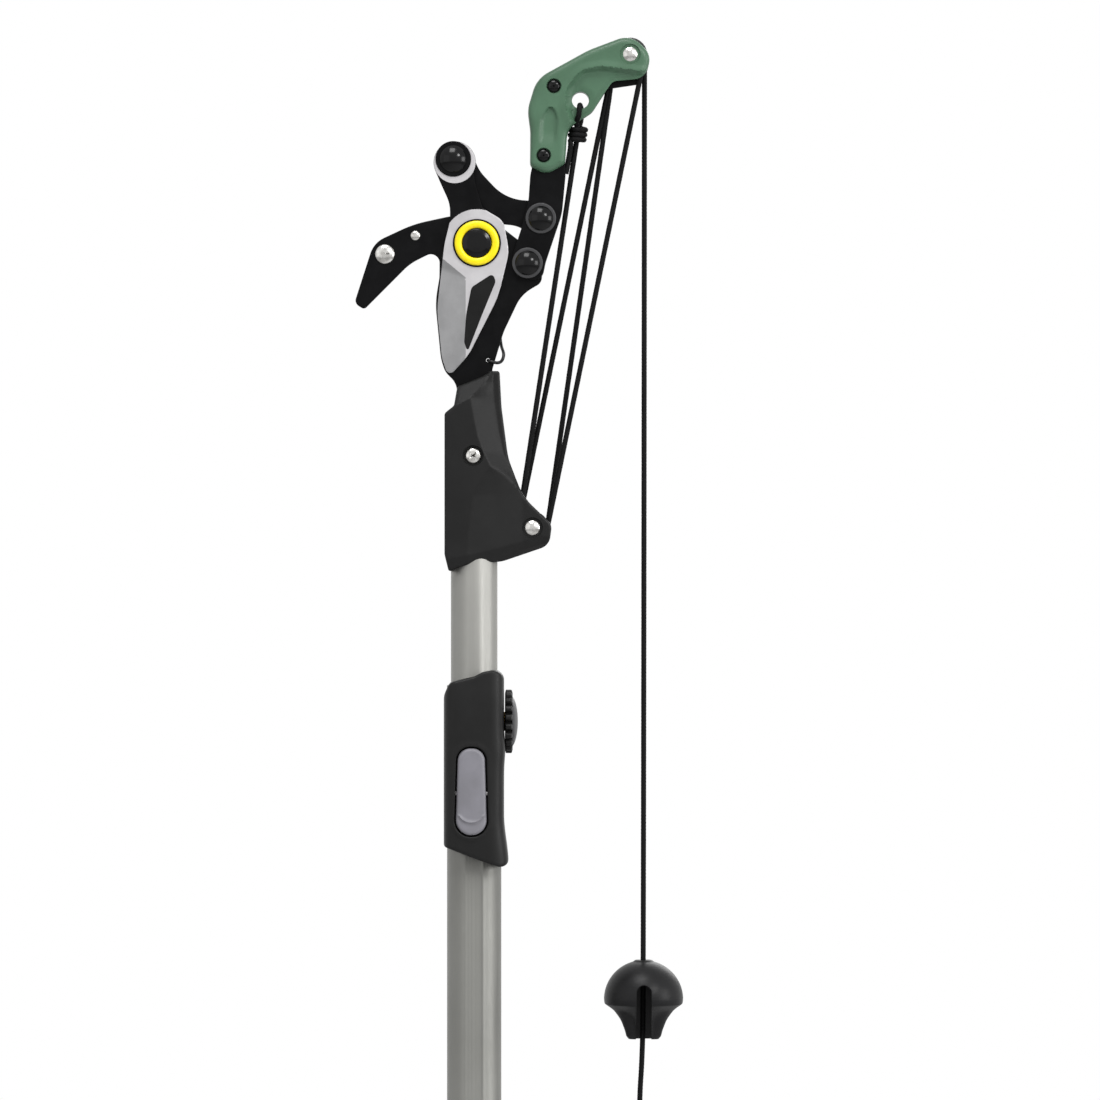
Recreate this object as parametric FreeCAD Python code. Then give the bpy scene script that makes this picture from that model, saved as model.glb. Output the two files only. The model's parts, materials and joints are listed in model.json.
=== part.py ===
import FreeCAD, Part
import math
import os
from FreeCAD import Vector

# Telescopic tree pruner pole, in millimetres. It stands on its foot with +Z up the pole, the
# cutting side faces -X and the front faces -Y. The origin is the centre of the foot.

# Tubes and their travel
outer_tube_od = 35.0
outer_tube_wall = 1.5
outer_tube_length = 1300.0
inner_tube_od = 30.0
inner_tube_wall = 1.4
slide_travel = 1000.0
slide_overlap = 150.0
running_gap = 0.05
fit_gap = 0.15

# End cap of the pole
cap_od = 39.0
cap_length = 110.0
cap_floor = 4.0
cap_plain_length = 42.0
cap_rib_pitch = 7.0
cap_rib_depth = 0.9

# Bushes of the sliding tube
bush_length = 60.0
bush_floor = 4.0
collar_length = 50.0
collar_flange = 3.0

# Lock housing, button and pin
housing_wall = 1.8
housing_front = 29.0
housing_top_left = 5.0
housing_top_right = 14.0
housing_bottom_left = -99.5
housing_bottom_right = -115.0
housing_mouth_gap = 0.6
button_centre_x = -1.5
button_pivot_drop = 65.8
button_pivot_depth = 24.5
button_top = 29.0
button_bottom = 26.6
button_top_r = 8.5
button_bottom_r = 10.2
button_face = 30.4
button_back = 22.6
button_gap = 1.0
pocket_floor = 18.3
rocker_pin_d = 3.0
rocker_pin_length = 25.0
lock_pin_d = 7.0
lock_pin_drop = 45.0
lock_pin_short = 0.5
lock_pin_hole_extra = 1.8
lock_steps = 5
spring_seat_drop = 84.0
spring_seat_d = 9.0
spring_seat_depth = 5.0
rocker_spring_wire = 0.7
rocker_spring_d = 5.6
rocker_spring_pitch = 1.9
rocker_spring_turns = 4
housing_screw_d = 3.5
housing_screw_head_d = 7.0
housing_screw_head = 2.2
housing_screw_drops = (28.0, 84.0)

# Side clamp
clamp_drop = 20.2
knob_r = 20.6
knob_rim = 4.9
knob_start = 19.9
knob_cap_r = 17.2
knob_cap_height = 3.4
knob_flutes = 20
knob_flute_r = 1.5
knob_hollow_r = 10.0
knob_hollow = 3.6
boss_r = 8.6
boss_height = 3.4
stud_d = 6.0
stud_length = 8.5
shoe_width = 16.0
shoe_height = 14.0
shoe_clear = 0.9
shoe_stem_r = 5.0
bush_wall = 1.2

# Head pivots, as offsets (x, z) from the main pivot
main_pivot_x = 1.8
main_pivot_rise = 288.0
lever_pivot = (32.6, -12.8)
link_lever = (41.2, 16.0)
link_blade = (-15.2, 54.2)
upper_axle = (98.7, 121.4)
lower_axle = (35.8, -183.4)
eye = (66.7, 92.0)

# Layers from the middle plane outwards
frame_t = 4.0
layer_gap = 0.15
blade_t = 3.2
lever_plate_t = 3.2
core_t = 1.8
cover_out = 10.2
pivot_pin_d = 8.0
main_bolt_d = 12.0
open_pivot_gap = 2.2
pin_head_r = 7.9
pin_head_height = 4.2
pin_ring_r = 9.9
pin_ring_t = 1.2
rear_head_t = 2.0
pivot_washer_r = 15.5
pivot_washer_t = 1.2
pivot_ring_r = 14.4
pivot_ring_hole = 9.6
pivot_ring_t = 1.5
bolt_head_r = 9.5
bolt_head_t = 1.2
bolt_dome = 1.6
nut_r = 10.4
nut_t = 6.5
blade_pin_r = 8.6
blade_pin_height = 4.4
blade_pin_rear_r = 9.4
blade_washer_r = 11.5
blade_eye_r = 13.6
blade_eye_offset = (0.9, -2.2)

# Rope and sheaves
rope_d = 3.5
rope_pitch_r = 9.4
sheave_side = 0.55
sheave_clear = 0.3
sheave_lip = 1.2
groove_gap = 0.12
strand_gap = 0.1
axle_d = 6.0
axle_head_r = 5.2
axle_head = 2.0
axle_recess_r = 6.4
axle_recess = 1.0
last_turn_angle = 34.2
joint_gap = 0.05
ball_x = 109.3
ball_top_drop = 174.2
ball_height = 50.9
ball_bore_gap = 0.6
ball_r = 25.6
ball_widest = 25.4
ball_slot_half = 4.7
ball_slot_drop = 15.0
ball_flutes = 6
ball_flute_r = 8.0
knot_offset = (-1.7, -21.2)

# Head housing
shell_wall = 3.9
shell_depth = 18.0
tube_in_shell = 38.0
tang_gap = 1.5
shell_screw_offset = (-2.3, 46.3)
shell_screw_head_r = 5.4
shell_screw_d = 4.8
shell_recess_r = 6.6
shell_recess = 1.6
ear_pocket_r = 12.2

# Green arm
cover_rim = 2.2
cover_screw_spots = ((49.6, 100.9), (43.0, 56.3))
cover_screw_head_r = 4.3
cover_screw_d = 3.6
eye_r = 5.5
eye_boss_wall = 2.6
eye_half = 6.5
knot_r = 5.6
knot_half_height = 4.6

# Return spring
spring_wire = 1.8
spring_od = 10.2
spring_pitch = 2.4
spring_turns = 13
spring_hole = (7.1, -75.3)
spring_post = (18.0, -14.0)

# Hank of spare rope
hank_loops = 4
hank_step = 4.4
hank_inner_r = 10.5
hank_run = 62.0
hank_bend = 16.0
hank_waist = 3.0
hank_layer = 4.1
hank_top_drop = 280.0
hank_tail = 18.0
tie_height = 9.0
tie_wall = 1.2
tie_gap = 0.3
end_knot_r = 3.6

# Values worked out from the sizes above
outer_r = outer_tube_od / 2
outer_bore_r = outer_r - outer_tube_wall
inner_r = inner_tube_od / 2
inner_bore_r = inner_r - inner_tube_wall
tube_top = outer_tube_length
housing_r = outer_r + housing_wall
pivot_z = tube_top + main_pivot_rise
frame_half = frame_t / 2
plate_in = frame_half + layer_gap
plate_out = plate_in + lever_plate_t
blade_face = plate_in + blade_t
washer_face = blade_face + layer_gap
rope_r = rope_d / 2
sheave_w = rope_d + 2 * sheave_side
sheave_y = core_t / 2 + sheave_clear + sheave_w / 2
cheek_in = sheave_y + sheave_w / 2 + sheave_clear
sheave_r = rope_pitch_r + sheave_lip
FAR = 60.0


def spot(offset):
    """Place (x, z) of an offset from the main pivot."""
    return (main_pivot_x + offset[0], pivot_z + offset[1])


def head(points):
    """Outline corners given from the main pivot, as corners of the whole object."""
    return [(main_pivot_x + x, pivot_z + z, r) for x, z, r in points]


M = spot((0.0, 0.0))
P = spot(lever_pivot)
B = spot(link_lever)
A = spot(link_blade)
U = spot(upper_axle)
L = spot(lower_axle)
E = spot(eye)


def corner_arc(before, corner, after, radius):
    """Start, middle and end of the arc that rounds a corner."""
    to_before = before - corner
    to_after = after - corner
    room = 0.499 * min(to_before.Length, to_after.Length)
    to_before.normalize()
    to_after.normalize()
    turn = math.pi - to_before.getAngle(to_after)
    if turn < 1e-4 or radius <= 0:
        return None
    reach = min(radius * math.tan(turn / 2), room)
    real_r = reach / math.tan(turn / 2)
    start = corner + to_before * reach
    end = corner + to_after * reach
    inward = to_before + to_after
    inward.normalize()
    middle = corner + inward * (real_r / math.cos(turn / 2) - real_r)
    return start, middle, end


def rounded_edges(points, radii, closed):
    """Lines and tangent arcs through a run of corners."""
    count = len(points)
    edges = []
    last = None if closed else points[0]
    first = None
    for i in range(count):
        if not closed and i in (0, count - 1):
            continue
        arc = corner_arc(points[i - 1], points[i], points[(i + 1) % count], radii[i])
        start, end = (arc[0], arc[2]) if arc else (points[i], points[i])
        if last is not None and last.distanceToPoint(start) > 1e-6:
            edges.append(Part.LineSegment(last, start).toShape())
        if arc:
            edges.append(Part.Arc(*arc).toShape())
        if first is None:
            first = start
        last = end
    final = first if closed else points[-1]
    if last.distanceToPoint(final) > 1e-6:
        edges.append(Part.LineSegment(last, final).toShape())
    return edges


def outline(points):
    """Closed wire in the XZ plane from corners (x, z, radius)."""
    corners = [Vector(x, 0, z) for x, z, r in points]
    return Part.Wire(rounded_edges(corners, [r for x, z, r in points], True))


def slab(points, y0, y1):
    """Plate with the given outline between two Y planes."""
    wire = outline(points)
    wire.translate(Vector(0, y0, 0))
    return Part.Face(wire).extrude(Vector(0, y1 - y0, 0))


def disc(centre, radius, y0, y1):
    """Round piece along Y."""
    return Part.makeCylinder(radius, y1 - y0, Vector(centre[0], y0, centre[1]), Vector(0, 1, 0))


def ring(centre, radius, hole, y0, y1):
    """Washer along Y."""
    return disc(centre, radius, y0, y1).cut(disc(centre, hole, y0 - 1, y1 + 1))


def column(radius, z0, z1, x=0.0, y=0.0):
    """Round piece along Z."""
    return Part.makeCylinder(radius, z1 - z0, Vector(x, y, z0))


def tube(radius, bore, z0, z1):
    """Round tube on the pole's axis."""
    return column(radius, z0, z1).cut(column(bore, z0 - 1, z1 + 1))


def bar_x(radius, x0, x1, y, z):
    """Round piece along X."""
    return Part.makeCylinder(radius, x1 - x0, Vector(x0, y, z), Vector(1, 0, 0))


def block(x0, x1, y0, y1, z0, z1):
    """Box between the given planes."""
    return Part.makeBox(x1 - x0, y1 - y0, z1 - z0, Vector(x0, y0, z0))


def turned(points, centre, axis):
    """Solid of revolution from a closed half profile in 3-D."""
    face = Part.Face(Part.makePolygon(points + [points[0]]))
    return face.revolve(centre, axis, 360)


def dome(centre, radius, height, y_face):
    """Domed head on a plane, bulging towards -Y."""
    sphere_r = (radius * radius + height * height) / (2 * height)
    ball = Part.makeSphere(sphere_r, Vector(centre[0], y_face - height + sphere_r, centre[1]))
    return ball.common(disc(centre, radius + 1, y_face - height - 1, y_face))


def pushed(path_edges, start, heading, radius):
    """Unbroken round solid along joined edges."""
    wire = Part.Wire(path_edges)
    circle = Part.Wire(Part.Circle(start, heading, radius).toShape())
    shell = Part.BRepOffsetAPI.MakePipeShell(wire)
    shell.add(circle)
    shell.build()
    shell.makeSolid()
    return shell.shape()


def biarc(p0, t0, p1, t1):
    """One line or two arcs that leave p0 along t0 and reach p1 along t1."""
    chord = p1 - p0
    side = t0 + t1
    if (chord.normalize() - t0).Length < 1e-7 and (t0 - t1).Length < 1e-7:
        return [Part.LineSegment(p0, p1).toShape()]
    chord = p1 - p0
    blend = 2 * (1 - t0.dot(t1))
    along = chord.dot(side)
    if blend > 1e-9:
        reach = (-along + math.sqrt(along * along + blend * chord.dot(chord))) / blend
    else:
        reach = chord.dot(chord) / (4 * chord.dot(t1))
    q0 = p0 + t0 * reach
    q1 = p1 - t1 * reach
    joint = (q0 + q1) * 0.5
    return [tangent_arc(p0, q0, joint), tangent_arc(joint, q1, p1)]


def tangent_arc(start, corner, end):
    """Arc between two points whose tangents meet at the corner."""
    middle = (start + end) * 0.5
    half = (end - start).Length / 2
    up = corner - middle
    if up.Length < 1e-6:
        return Part.LineSegment(start, end).toShape()
    angle = math.atan2(up.Length, half)
    top = middle + up * (half * math.tan(angle / 2) / up.Length)
    return Part.Arc(start, top, end).toShape()


def cord_along(points, radius, label):
    """Rope through hand-placed points, with arcs as large as its runs allow."""
    radii = [0.0]
    for i in range(1, len(points) - 1):
        before = points[i - 1] - points[i]
        after = points[i + 1] - points[i]
        turn = math.pi - before.getAngle(after)
        radii.append(0.45 * min(before.Length, after.Length) / math.tan(turn / 2))
    radii.append(0.0)
    edges = rounded_edges(points, radii, False)
    solid = pushed(edges, points[0], points[1] - points[0], radius)
    length = sum(edge.Length for edge in edges)
    print(label, "radii", [round(r, 1) for r in radii[1:-1]], "length", round(length, 1),
          "volume share", round(solid.Volume / (math.pi * radius * radius * length), 4))
    return solid


def turn_about(centre, from_deg, to_deg, y, radius, pitch_r):
    """Rope round a sheave; angles run anticlockwise from +X in the front view."""
    start = math.radians(from_deg)
    end = math.radians(to_deg)
    steps = max(1, int(abs(to_deg - from_deg) // 100) + 1)

    def point(angle):
        return Vector(centre[0] + pitch_r * math.cos(angle), y, centre[1] + pitch_r * math.sin(angle))

    edges = []
    for k in range(steps):
        a0 = start + (end - start) * k / steps
        a1 = start + (end - start) * (k + 1) / steps
        edges.append(Part.Arc(point(a0), point((a0 + a1) / 2), point(a1)).toShape())
    sign = 1 if end > start else -1
    heading = Vector(-math.sin(start) * sign, 0, math.cos(start) * sign)
    return pushed(edges, point(start), heading, radius)


def strand(start, end, radius):
    """Straight taut rope, a joint gap short at both ends."""
    heading = end - start
    span = heading.Length
    heading.normalize()
    return Part.makeCylinder(radius, span - 2 * joint_gap, start + heading * joint_gap, heading)


# Lower pole

def make_outer_tube():
    body = tube(outer_r, outer_bore_r, cap_floor, tube_top)
    body = body.cut(pin_passage())
    body = body.cut(shoe_passage(0.4))
    for drop in housing_screw_drops:
        body = body.cut(screw_line(housing_screw_d / 2 + 0.1, drop))
    return body


def pin_passage():
    """Way for the lock pin through the tube wall and bush."""
    radius = lock_pin_d / 2 + lock_pin_hole_extra
    z = tube_top - lock_pin_drop
    return Part.makeCylinder(radius, housing_front, Vector(0, -housing_front + 6, z), Vector(0, 1, 0)).common(
        block(-FAR, FAR, -FAR, 0, z - FAR, z + FAR))


def shoe_passage(gap):
    """Way for the clamp shoe through the tube wall and bush."""
    z = tube_top - clamp_drop
    half_w = shoe_width / 2 + gap
    half_h = shoe_height / 2 + gap
    return block(0, housing_r + 1, -half_w, half_w, z - half_h, z + half_h)


def screw_line(radius, drop):
    """Line of a rear screw of the lock housing."""
    return Part.makeCylinder(radius, FAR, Vector(0, outer_bore_r - 2, tube_top - drop), Vector(0, 1, 0))


def make_end_cap():
    cap_r = cap_od / 2
    body = column(cap_r, 0, cap_length).cut(column(outer_r, cap_floor, cap_length + 1))
    z = cap_plain_length + cap_rib_pitch / 2
    while z < cap_length - cap_rib_pitch / 2:
        groove = tube(cap_r + 1, cap_r - cap_rib_depth, z, z + cap_rib_pitch / 2)
        body = body.cut(groove)
        z += cap_rib_pitch
    lip = tube(cap_r + 1, cap_r - cap_rib_depth, cap_length - 2, cap_length + 1)
    return body.cut(lip)


def make_guide_collar():
    bore = inner_r + running_gap
    body = tube(outer_bore_r, bore, tube_top - collar_length, tube_top)
    body = body.fuse(tube(outer_r, bore, tube_top, tube_top + collar_flange))
    return body.removeSplitter().cut(pin_passage()).cut(shoe_passage(0.4))


def button_outline(grow):
    """Button's outline, wider at the bottom, grown by a gap."""
    z = tube_top - button_pivot_drop
    top_r = button_top_r + grow
    low_r = button_bottom_r + grow
    x = button_centre_x
    top = z + button_top + grow
    low = z - button_bottom - grow
    return [(x - top_r, top, top_r * 0.95), (x + top_r, top, top_r * 0.95),
            (x + low_r, low, low_r * 0.95), (x - low_r, low, low_r * 0.95)]


def make_lock_housing():
    z_low = tube_top + housing_bottom_right - 5
    z_high = tube_top + housing_top_right + 5
    front_r = 9.0
    corners = [Vector(-housing_r, 0, z_low), Vector(-housing_r, -housing_front, z_low),
               Vector(housing_r, -housing_front, z_low), Vector(housing_r, 0, z_low)]
    edges = rounded_edges(corners, [0, front_r, front_r, 0], False)
    edges.append(Part.Arc(corners[3], Vector(0, housing_r, z_low), corners[0]).toShape())
    body = Part.Face(Part.Wire(edges)).extrude(Vector(0, 0, z_high - z_low))
    side = [
        (-housing_r - 1, tube_top + housing_top_left - 1, 4),
        (-housing_r + 3, tube_top + housing_top_left, 2),
        (housing_r - 3, tube_top + housing_top_right, 3),
        (housing_r + 1, tube_top + housing_top_right - 4, 3),
        (housing_r + 1, tube_top + housing_bottom_right, 1),
        (-housing_r - 1, tube_top + housing_bottom_left, 1)]
    body = body.common(slab(side, -FAR, FAR))
    body = body.fuse(bar_x(boss_r, housing_r - 3, knob_start + boss_height - 0.4, 0, tube_top - clamp_drop))
    body = body.cut(column(outer_r, z_low - 1, tube_top + collar_flange))
    body = body.cut(column(inner_r + housing_mouth_gap, tube_top, z_high + 1))
    body = body.cut(slab(button_outline(button_gap), -housing_front - 2, -pocket_floor))
    body = body.cut(pin_passage())
    body = body.cut(shoe_passage(0.4))
    body = body.cut(bar_x(shoe_stem_r + bush_wall, inner_r, FAR, 0, tube_top - clamp_drop))
    body = body.cut(rocker_pin_solid(0.0))
    for drop in housing_screw_drops:
        body = body.cut(screw_line(housing_screw_d / 2, drop))
        body = body.cut(screw_head(drop))
    return body


def rocker_pin_solid(extra):
    z = tube_top - button_pivot_drop
    half = rocker_pin_length / 2
    radius = rocker_pin_d / 2 + extra
    return bar_x(radius, button_centre_x - half, button_centre_x + half, -button_pivot_depth, z)


def screw_head(drop):
    z = tube_top - drop
    start = Vector(0, housing_r - housing_screw_head / 2, z)
    return Part.makeCylinder(housing_screw_head_d / 2, FAR, start, Vector(0, 1, 0)).common(
        block(-FAR, FAR, 0, housing_r + housing_screw_head / 2, z - FAR, z + FAR))


def make_housing_screws():
    solids = []
    for drop in housing_screw_drops:
        shank = screw_line(housing_screw_d / 2, drop).common(
            block(-FAR, FAR, outer_bore_r, housing_r, 0, tube_top))
        solids.append(shank.fuse(screw_head(drop)).removeSplitter())
    return Part.makeCompound(solids)


def make_knob_bush():
    z = tube_top - clamp_drop
    x1 = knob_start + boss_height - 0.4
    x0 = housing_r - 1.0
    body = bar_x(shoe_stem_r + bush_wall, x0, x1, 0, z)
    return body.cut(bar_x(shoe_stem_r + running_gap, x0 - 1, x1 + 1, 0, z))


# Release button

def make_rocker_button():
    body = slab(button_outline(0.0), -button_face, -button_back)
    z = tube_top - button_pivot_drop
    body = body.cut(rocker_pin_solid(running_gap))
    seat_z = tube_top - spring_seat_drop
    seat = disc((button_centre_x, seat_z), spring_seat_d / 2, -button_back - spring_seat_depth, -button_back)
    body = body.cut(seat)
    pin_hole = Part.makeCylinder(lock_pin_d / 2, 4.0,
                                 Vector(0, -button_back - 4.0, tube_top - lock_pin_drop), Vector(0, 1, 0))
    ridge_z = z - button_bottom + 10.8
    ridge = Part.makeTorus(9.0, 0.8, Vector(button_centre_x, -button_face, ridge_z + 6.5), Vector(0, 1, 0))
    ridge = ridge.common(block(-FAR, FAR, -FAR, -button_face + 0.5, ridge_z - 4, ridge_z + 2.0))
    return body.fuse(ridge).removeSplitter().cut(pin_hole)


def make_lock_pin():
    z = tube_top - lock_pin_drop
    start = Vector(0, -button_back - 4.0, z)
    length = button_back + 4.0 - inner_r - lock_pin_short
    body = Part.makeCylinder(lock_pin_d / 2, length, start, Vector(0, 1, 0))
    return body.makeChamfer(0.6, [edge for edge in body.Edges if edge.BoundBox.YMin > start.y + length - 0.1
                                  and edge.BoundBox.YLength < 0.1])


def make_rocker_spring():
    wire_r = rocker_spring_wire / 2
    coil_r = (rocker_spring_d - rocker_spring_wire) / 2
    y0 = -button_back - spring_seat_depth + wire_r + 0.1
    z = tube_top - spring_seat_drop
    x = button_centre_x
    points = []
    for k in range(4 * rocker_spring_turns + 1):
        angle = math.pi / 2 * k
        rise = rocker_spring_pitch / (2 * math.pi)
        points.append((Vector(x + coil_r * math.cos(angle), y0 + rise * angle, z + coil_r * math.sin(angle)),
                       Vector(-coil_r * math.sin(angle), rise, coil_r * math.cos(angle)).normalize()))
    return coil_solid(points, wire_r)


def coil_solid(points, radius):
    """Unbroken wire through places with headings."""
    edges = []
    for (p0, t0), (p1, t1) in zip(points, points[1:]):
        edges.extend(biarc(p0, t0, p1, t1))
    return pushed(edges, points[0][0], points[0][1], radius)


# Side clamp

def make_clamp_shoe():
    z = tube_top - clamp_drop
    face_r = inner_r + shoe_clear
    half_w = shoe_width / 2
    half_h = shoe_height / 2
    pad = block(0, housing_r - 1.4, -half_w, half_w, z - half_h, z + half_h)
    pad = pad.cut(column(face_r, z - FAR, z + FAR))
    stem = bar_x(shoe_stem_r, housing_r - 2.4, knob_start + boss_height - 1.6, 0, z)
    bore = bar_x(stud_d / 2 + running_gap, 0, FAR, 0, z)
    return pad.fuse(stem).removeSplitter().cut(bore)


def make_clamp_knob():
    z = tube_top - clamp_drop
    rim_end = knob_start + knob_rim
    body = bar_x(knob_r, knob_start, rim_end, 0, z)
    body = body.makeChamfer(0.8, body.Edges)
    for k in range(knob_flutes):
        angle = 2 * math.pi * (k + 0.5) / knob_flutes
        body = body.cut(bar_x(knob_flute_r, knob_start - 1, rim_end + 1, knob_r * math.cos(angle),
                              z + knob_r * math.sin(angle)))
    body = body.cut(bar_x(knob_hollow_r, knob_start - 1, knob_start + knob_hollow, 0, z))
    return body.cut(bar_x(stud_d / 2, knob_start - 1, rim_end + 1, 0, z))


def make_knob_cap():
    z = tube_top - clamp_drop
    base = knob_start + knob_rim
    sphere_r = (knob_cap_r ** 2 + knob_cap_height ** 2) / (2 * knob_cap_height)
    ball = Part.makeSphere(sphere_r, Vector(base + knob_cap_height - sphere_r, 0, z))
    return ball.common(bar_x(knob_cap_r, base, base + knob_cap_height + 1, 0, z))


def make_knob_stud():
    z = tube_top - clamp_drop
    end = knob_start + knob_rim
    return bar_x(stud_d / 2, end - stud_length, end, 0, z)


# Head

def make_inner_tube():
    top = L[1] + tube_in_shell
    bottom = tube_top - slide_travel - slide_overlap
    body = tube(inner_r, inner_bore_r, bottom, top)
    for k in range(1, lock_steps + 1):
        z = tube_top - lock_pin_drop - k * slide_travel / lock_steps
        body = body.cut(disc((0.0, z), lock_pin_d / 2 + 0.4, -inner_r - 1, 0.0))
    for place in rear_screw_spots():
        body = body.cut(disc(place, shell_screw_d / 2, 0, FAR))
    return body


def make_slide_bush():
    bottom = tube_top - slide_travel - slide_overlap
    radius = outer_bore_r - running_gap
    sleeve = tube(radius, inner_r, bottom, bottom + bush_length)
    floor = tube(radius, inner_bore_r - 3, bottom - bush_floor, bottom)
    return sleeve.fuse(floor).removeSplitter()


def shell_points(inset):
    """Housing outline from the pole's axis and the lower sheave's height."""
    left = -(inner_r + shell_wall) + inset
    return [(x, L[1] + z, r) for x, z, r in (
        (left, -17.0, 6), (left, 73.5, 3), (-12.8 + inset, 78.5, 3), (-10.8 + inset, 90.8, 4),
        (5.0, 97.2, 8), (11.0, 100.9 - inset, 1.5), (16.4 - inset, 100.9 - inset, 1.5),
        (17.6 - inset, 78.0, 60), (21.9 - inset, 45.0, 45), (31.5 - inset, 20.0, 40),
        (50.2 - inset, 2.2, 7), (48.4 - inset, -11.4, 9), (18.5, -21.6 + inset, 20),
        (-6.0, -24.2 + inset, 30), (-16.2 + inset, -28.4 + inset, 1.5))]


def strand_window():
    """Open space of the lower sheaves and their strands between the ears."""
    x, z = L
    reach = rope_pitch_r + rope_r + 1.6
    corners = [(x - reach, z - 3, 0), (x - reach, z + 2, 0), (x - reach + 6.5, z + 44, 0),
               (x + FAR, z + 44, 0), (x + FAR, z - 7.5, 0), (x + 4, z - 7.5, 0)]
    return slab(corners, -cheek_in, cheek_in).fuse(disc(L, ear_pocket_r, -cheek_in, cheek_in))


def shell_half(front):
    """One half of the head housing, split on the middle plane."""
    sign = -1 if front else 1
    y0, y1 = (-shell_depth, 0.0) if front else (0.0, shell_depth)
    body = slab(shell_points(0.0), y0, y1)
    slope_x = 9.0
    beyond = sign * (shell_depth + 0.1)
    corners = [(slope_x, beyond), (FAR, beyond), (FAR, sign * cover_out), (L[0] - 6, sign * cover_out)]
    cutter = Part.makePolygon([Vector(x, y, 0) for x, y in corners + corners[:1]])
    body = body.cut(Part.Face(cutter).extrude(Vector(0, 0, 400)).translated(Vector(0, 0, L[1] - 200)))
    body = body.cut(column(inner_r, L[1] - FAR, L[1] + tube_in_shell))
    body = body.cut(slab(frame_points(), -frame_half, frame_half))
    body = body.cut(strand_window())
    body = body.cut(disc(L, axle_d / 2, -FAR, FAR))
    face = sign * cover_out
    recess = disc(L, axle_recess_r, *sorted((face, face - sign * axle_recess)))
    body = body.cut(recess)
    return body


def make_head_shell_front():
    body = shell_half(True)
    spot_xz = (shell_screw_offset[0], L[1] + shell_screw_offset[1])
    body = body.cut(disc(spot_xz, shell_recess_r, -shell_depth - 1, -shell_depth + shell_recess))
    return body.cut(disc(spot_xz, shell_screw_d / 2, -FAR, FAR))


def rear_screw_spots():
    return [(0.0, L[1] + z) for z in (8.0, -12.0)]


def make_head_shell_back():
    body = shell_half(False)
    spot_xz = (shell_screw_offset[0], L[1] + shell_screw_offset[1])
    body = body.cut(disc(spot_xz, shell_screw_d / 2, -1, shell_depth - 4))
    for place in rear_screw_spots():
        body = body.cut(disc(place, shell_screw_d / 2, 0, FAR))
        body = body.cut(disc(place, shell_recess_r, shell_depth - shell_recess, FAR))
    return body


def make_head_screws():
    spot_xz = (shell_screw_offset[0], L[1] + shell_screw_offset[1])
    seat = -shell_depth + shell_recess
    head_disc = dome(spot_xz, shell_screw_head_r, 2.2, seat)
    for angle in (45, 135):
        slot = block(-shell_screw_head_r * 0.6, shell_screw_head_r * 0.6, seat - 4, seat - 1.0, -0.55, 0.55)
        slot.rotate(Vector(0, 0, 0), Vector(0, 1, 0), angle)
        head_disc = head_disc.cut(slot.translated(Vector(spot_xz[0], 0, spot_xz[1])))
    solids = [head_disc.fuse(disc(spot_xz, shell_screw_d / 2, seat, shell_depth - 4)).removeSplitter()]
    for place in rear_screw_spots():
        seat_back = shell_depth - shell_recess
        head_back = disc(place, shell_screw_head_r, seat_back, seat_back + 2.0)
        shank = disc(place, shell_screw_d / 2, inner_bore_r, seat_back)
        solids.append(head_back.fuse(shank).removeSplitter())
    return Part.makeCompound(solids)


def frame_points():
    """Black steel plate: hook, body and the tang in the housing."""
    return head([
        (-17.0, 17.6, 30), (-41.0, 12.4, 80), (-66.5, 0.5, 17), (-79.1, -38.6, 4.2), (-72.7, -42.6, 2.6),
        (-43.2, -13.0, 35), (-24.0, -3.4, 8), (-24.2, -22.0, 20), (-26.9, -38.0, 60), (-23.2, -75.0, 40),
        (-20.4, -83.0, 12), (-12.9, -90.5, 12), (-13.0, -112.0, 2), (-12.0, tang_end(), 2), (8.0, tang_end(), 2),
        (10.0, -81.0, 3), (17.2, -57.0, 40), (28.6, -33.0, 30), (41.6, -25.4, 6), (42.4, -16.0, 7),
        (37.4, -5.6, 8), (29.0, 0.4, 6), (17.5, 9.2, 6), (7.0, 14.6, 8), (-8.0, 17.8, 20)])


def tang_end():
    """Lower end of the plate's tang, just above the tube, from the main pivot."""
    return L[1] + tube_in_shell + tang_gap - pivot_z


def make_frame_plate():
    body = slab(frame_points(), -frame_half, frame_half)
    body = body.cut(disc(M, main_bolt_d / 2, -FAR, FAR))
    body = body.cut(disc(P, pivot_pin_d / 2, -FAR, FAR))
    body = body.cut(disc(spot(spring_hole), spring_wire / 2 + 0.4, -FAR, FAR))
    for place, radius in rivet_spots():
        body = body.cut(disc(place, radius, -FAR, FAR))
    screw = (shell_screw_offset[0], L[1] + shell_screw_offset[1])
    return body.cut(disc(screw, shell_screw_d / 2, -FAR, FAR))


def rivet_spots():
    return [(spot((-59.3, -7.0)), 3.0), (spot((-39.7, 5.0)), 1.8)]


def make_hook_backing():
    corners = head([(-33.0, 11.5, 4), (-46.0, 7.4, 60), (-64.5, -1.5, 14), (-75.6, -35.5, 3),
                    (-70.0, -37.5, 2), (-45.5, -12.6, 30), (-31.0, -5.0, 4)])
    body = slab(corners, frame_half, frame_half + 2.5)
    for place, radius in rivet_spots():
        body = body.cut(disc(place, radius, -FAR, FAR))
    return body


def make_hook_rivets():
    solids = []
    for (place, radius), head_r, height in zip(rivet_spots(), (6.45, 3.2), (3.0, 1.6)):
        front = dome(place, head_r, height, -frame_half)
        shank = disc(place, radius, -frame_half, frame_half + 2.5)
        rear = disc(place, head_r * 0.8, frame_half + 2.5, frame_half + 3.9)
        solids.append(front.fuse([shank, rear]).removeSplitter())
    return Part.makeCompound(solids)


def make_pivot_washer():
    return ring(M, pivot_washer_r, main_bolt_d / 2, -washer_face - pivot_washer_t, -washer_face)


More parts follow.
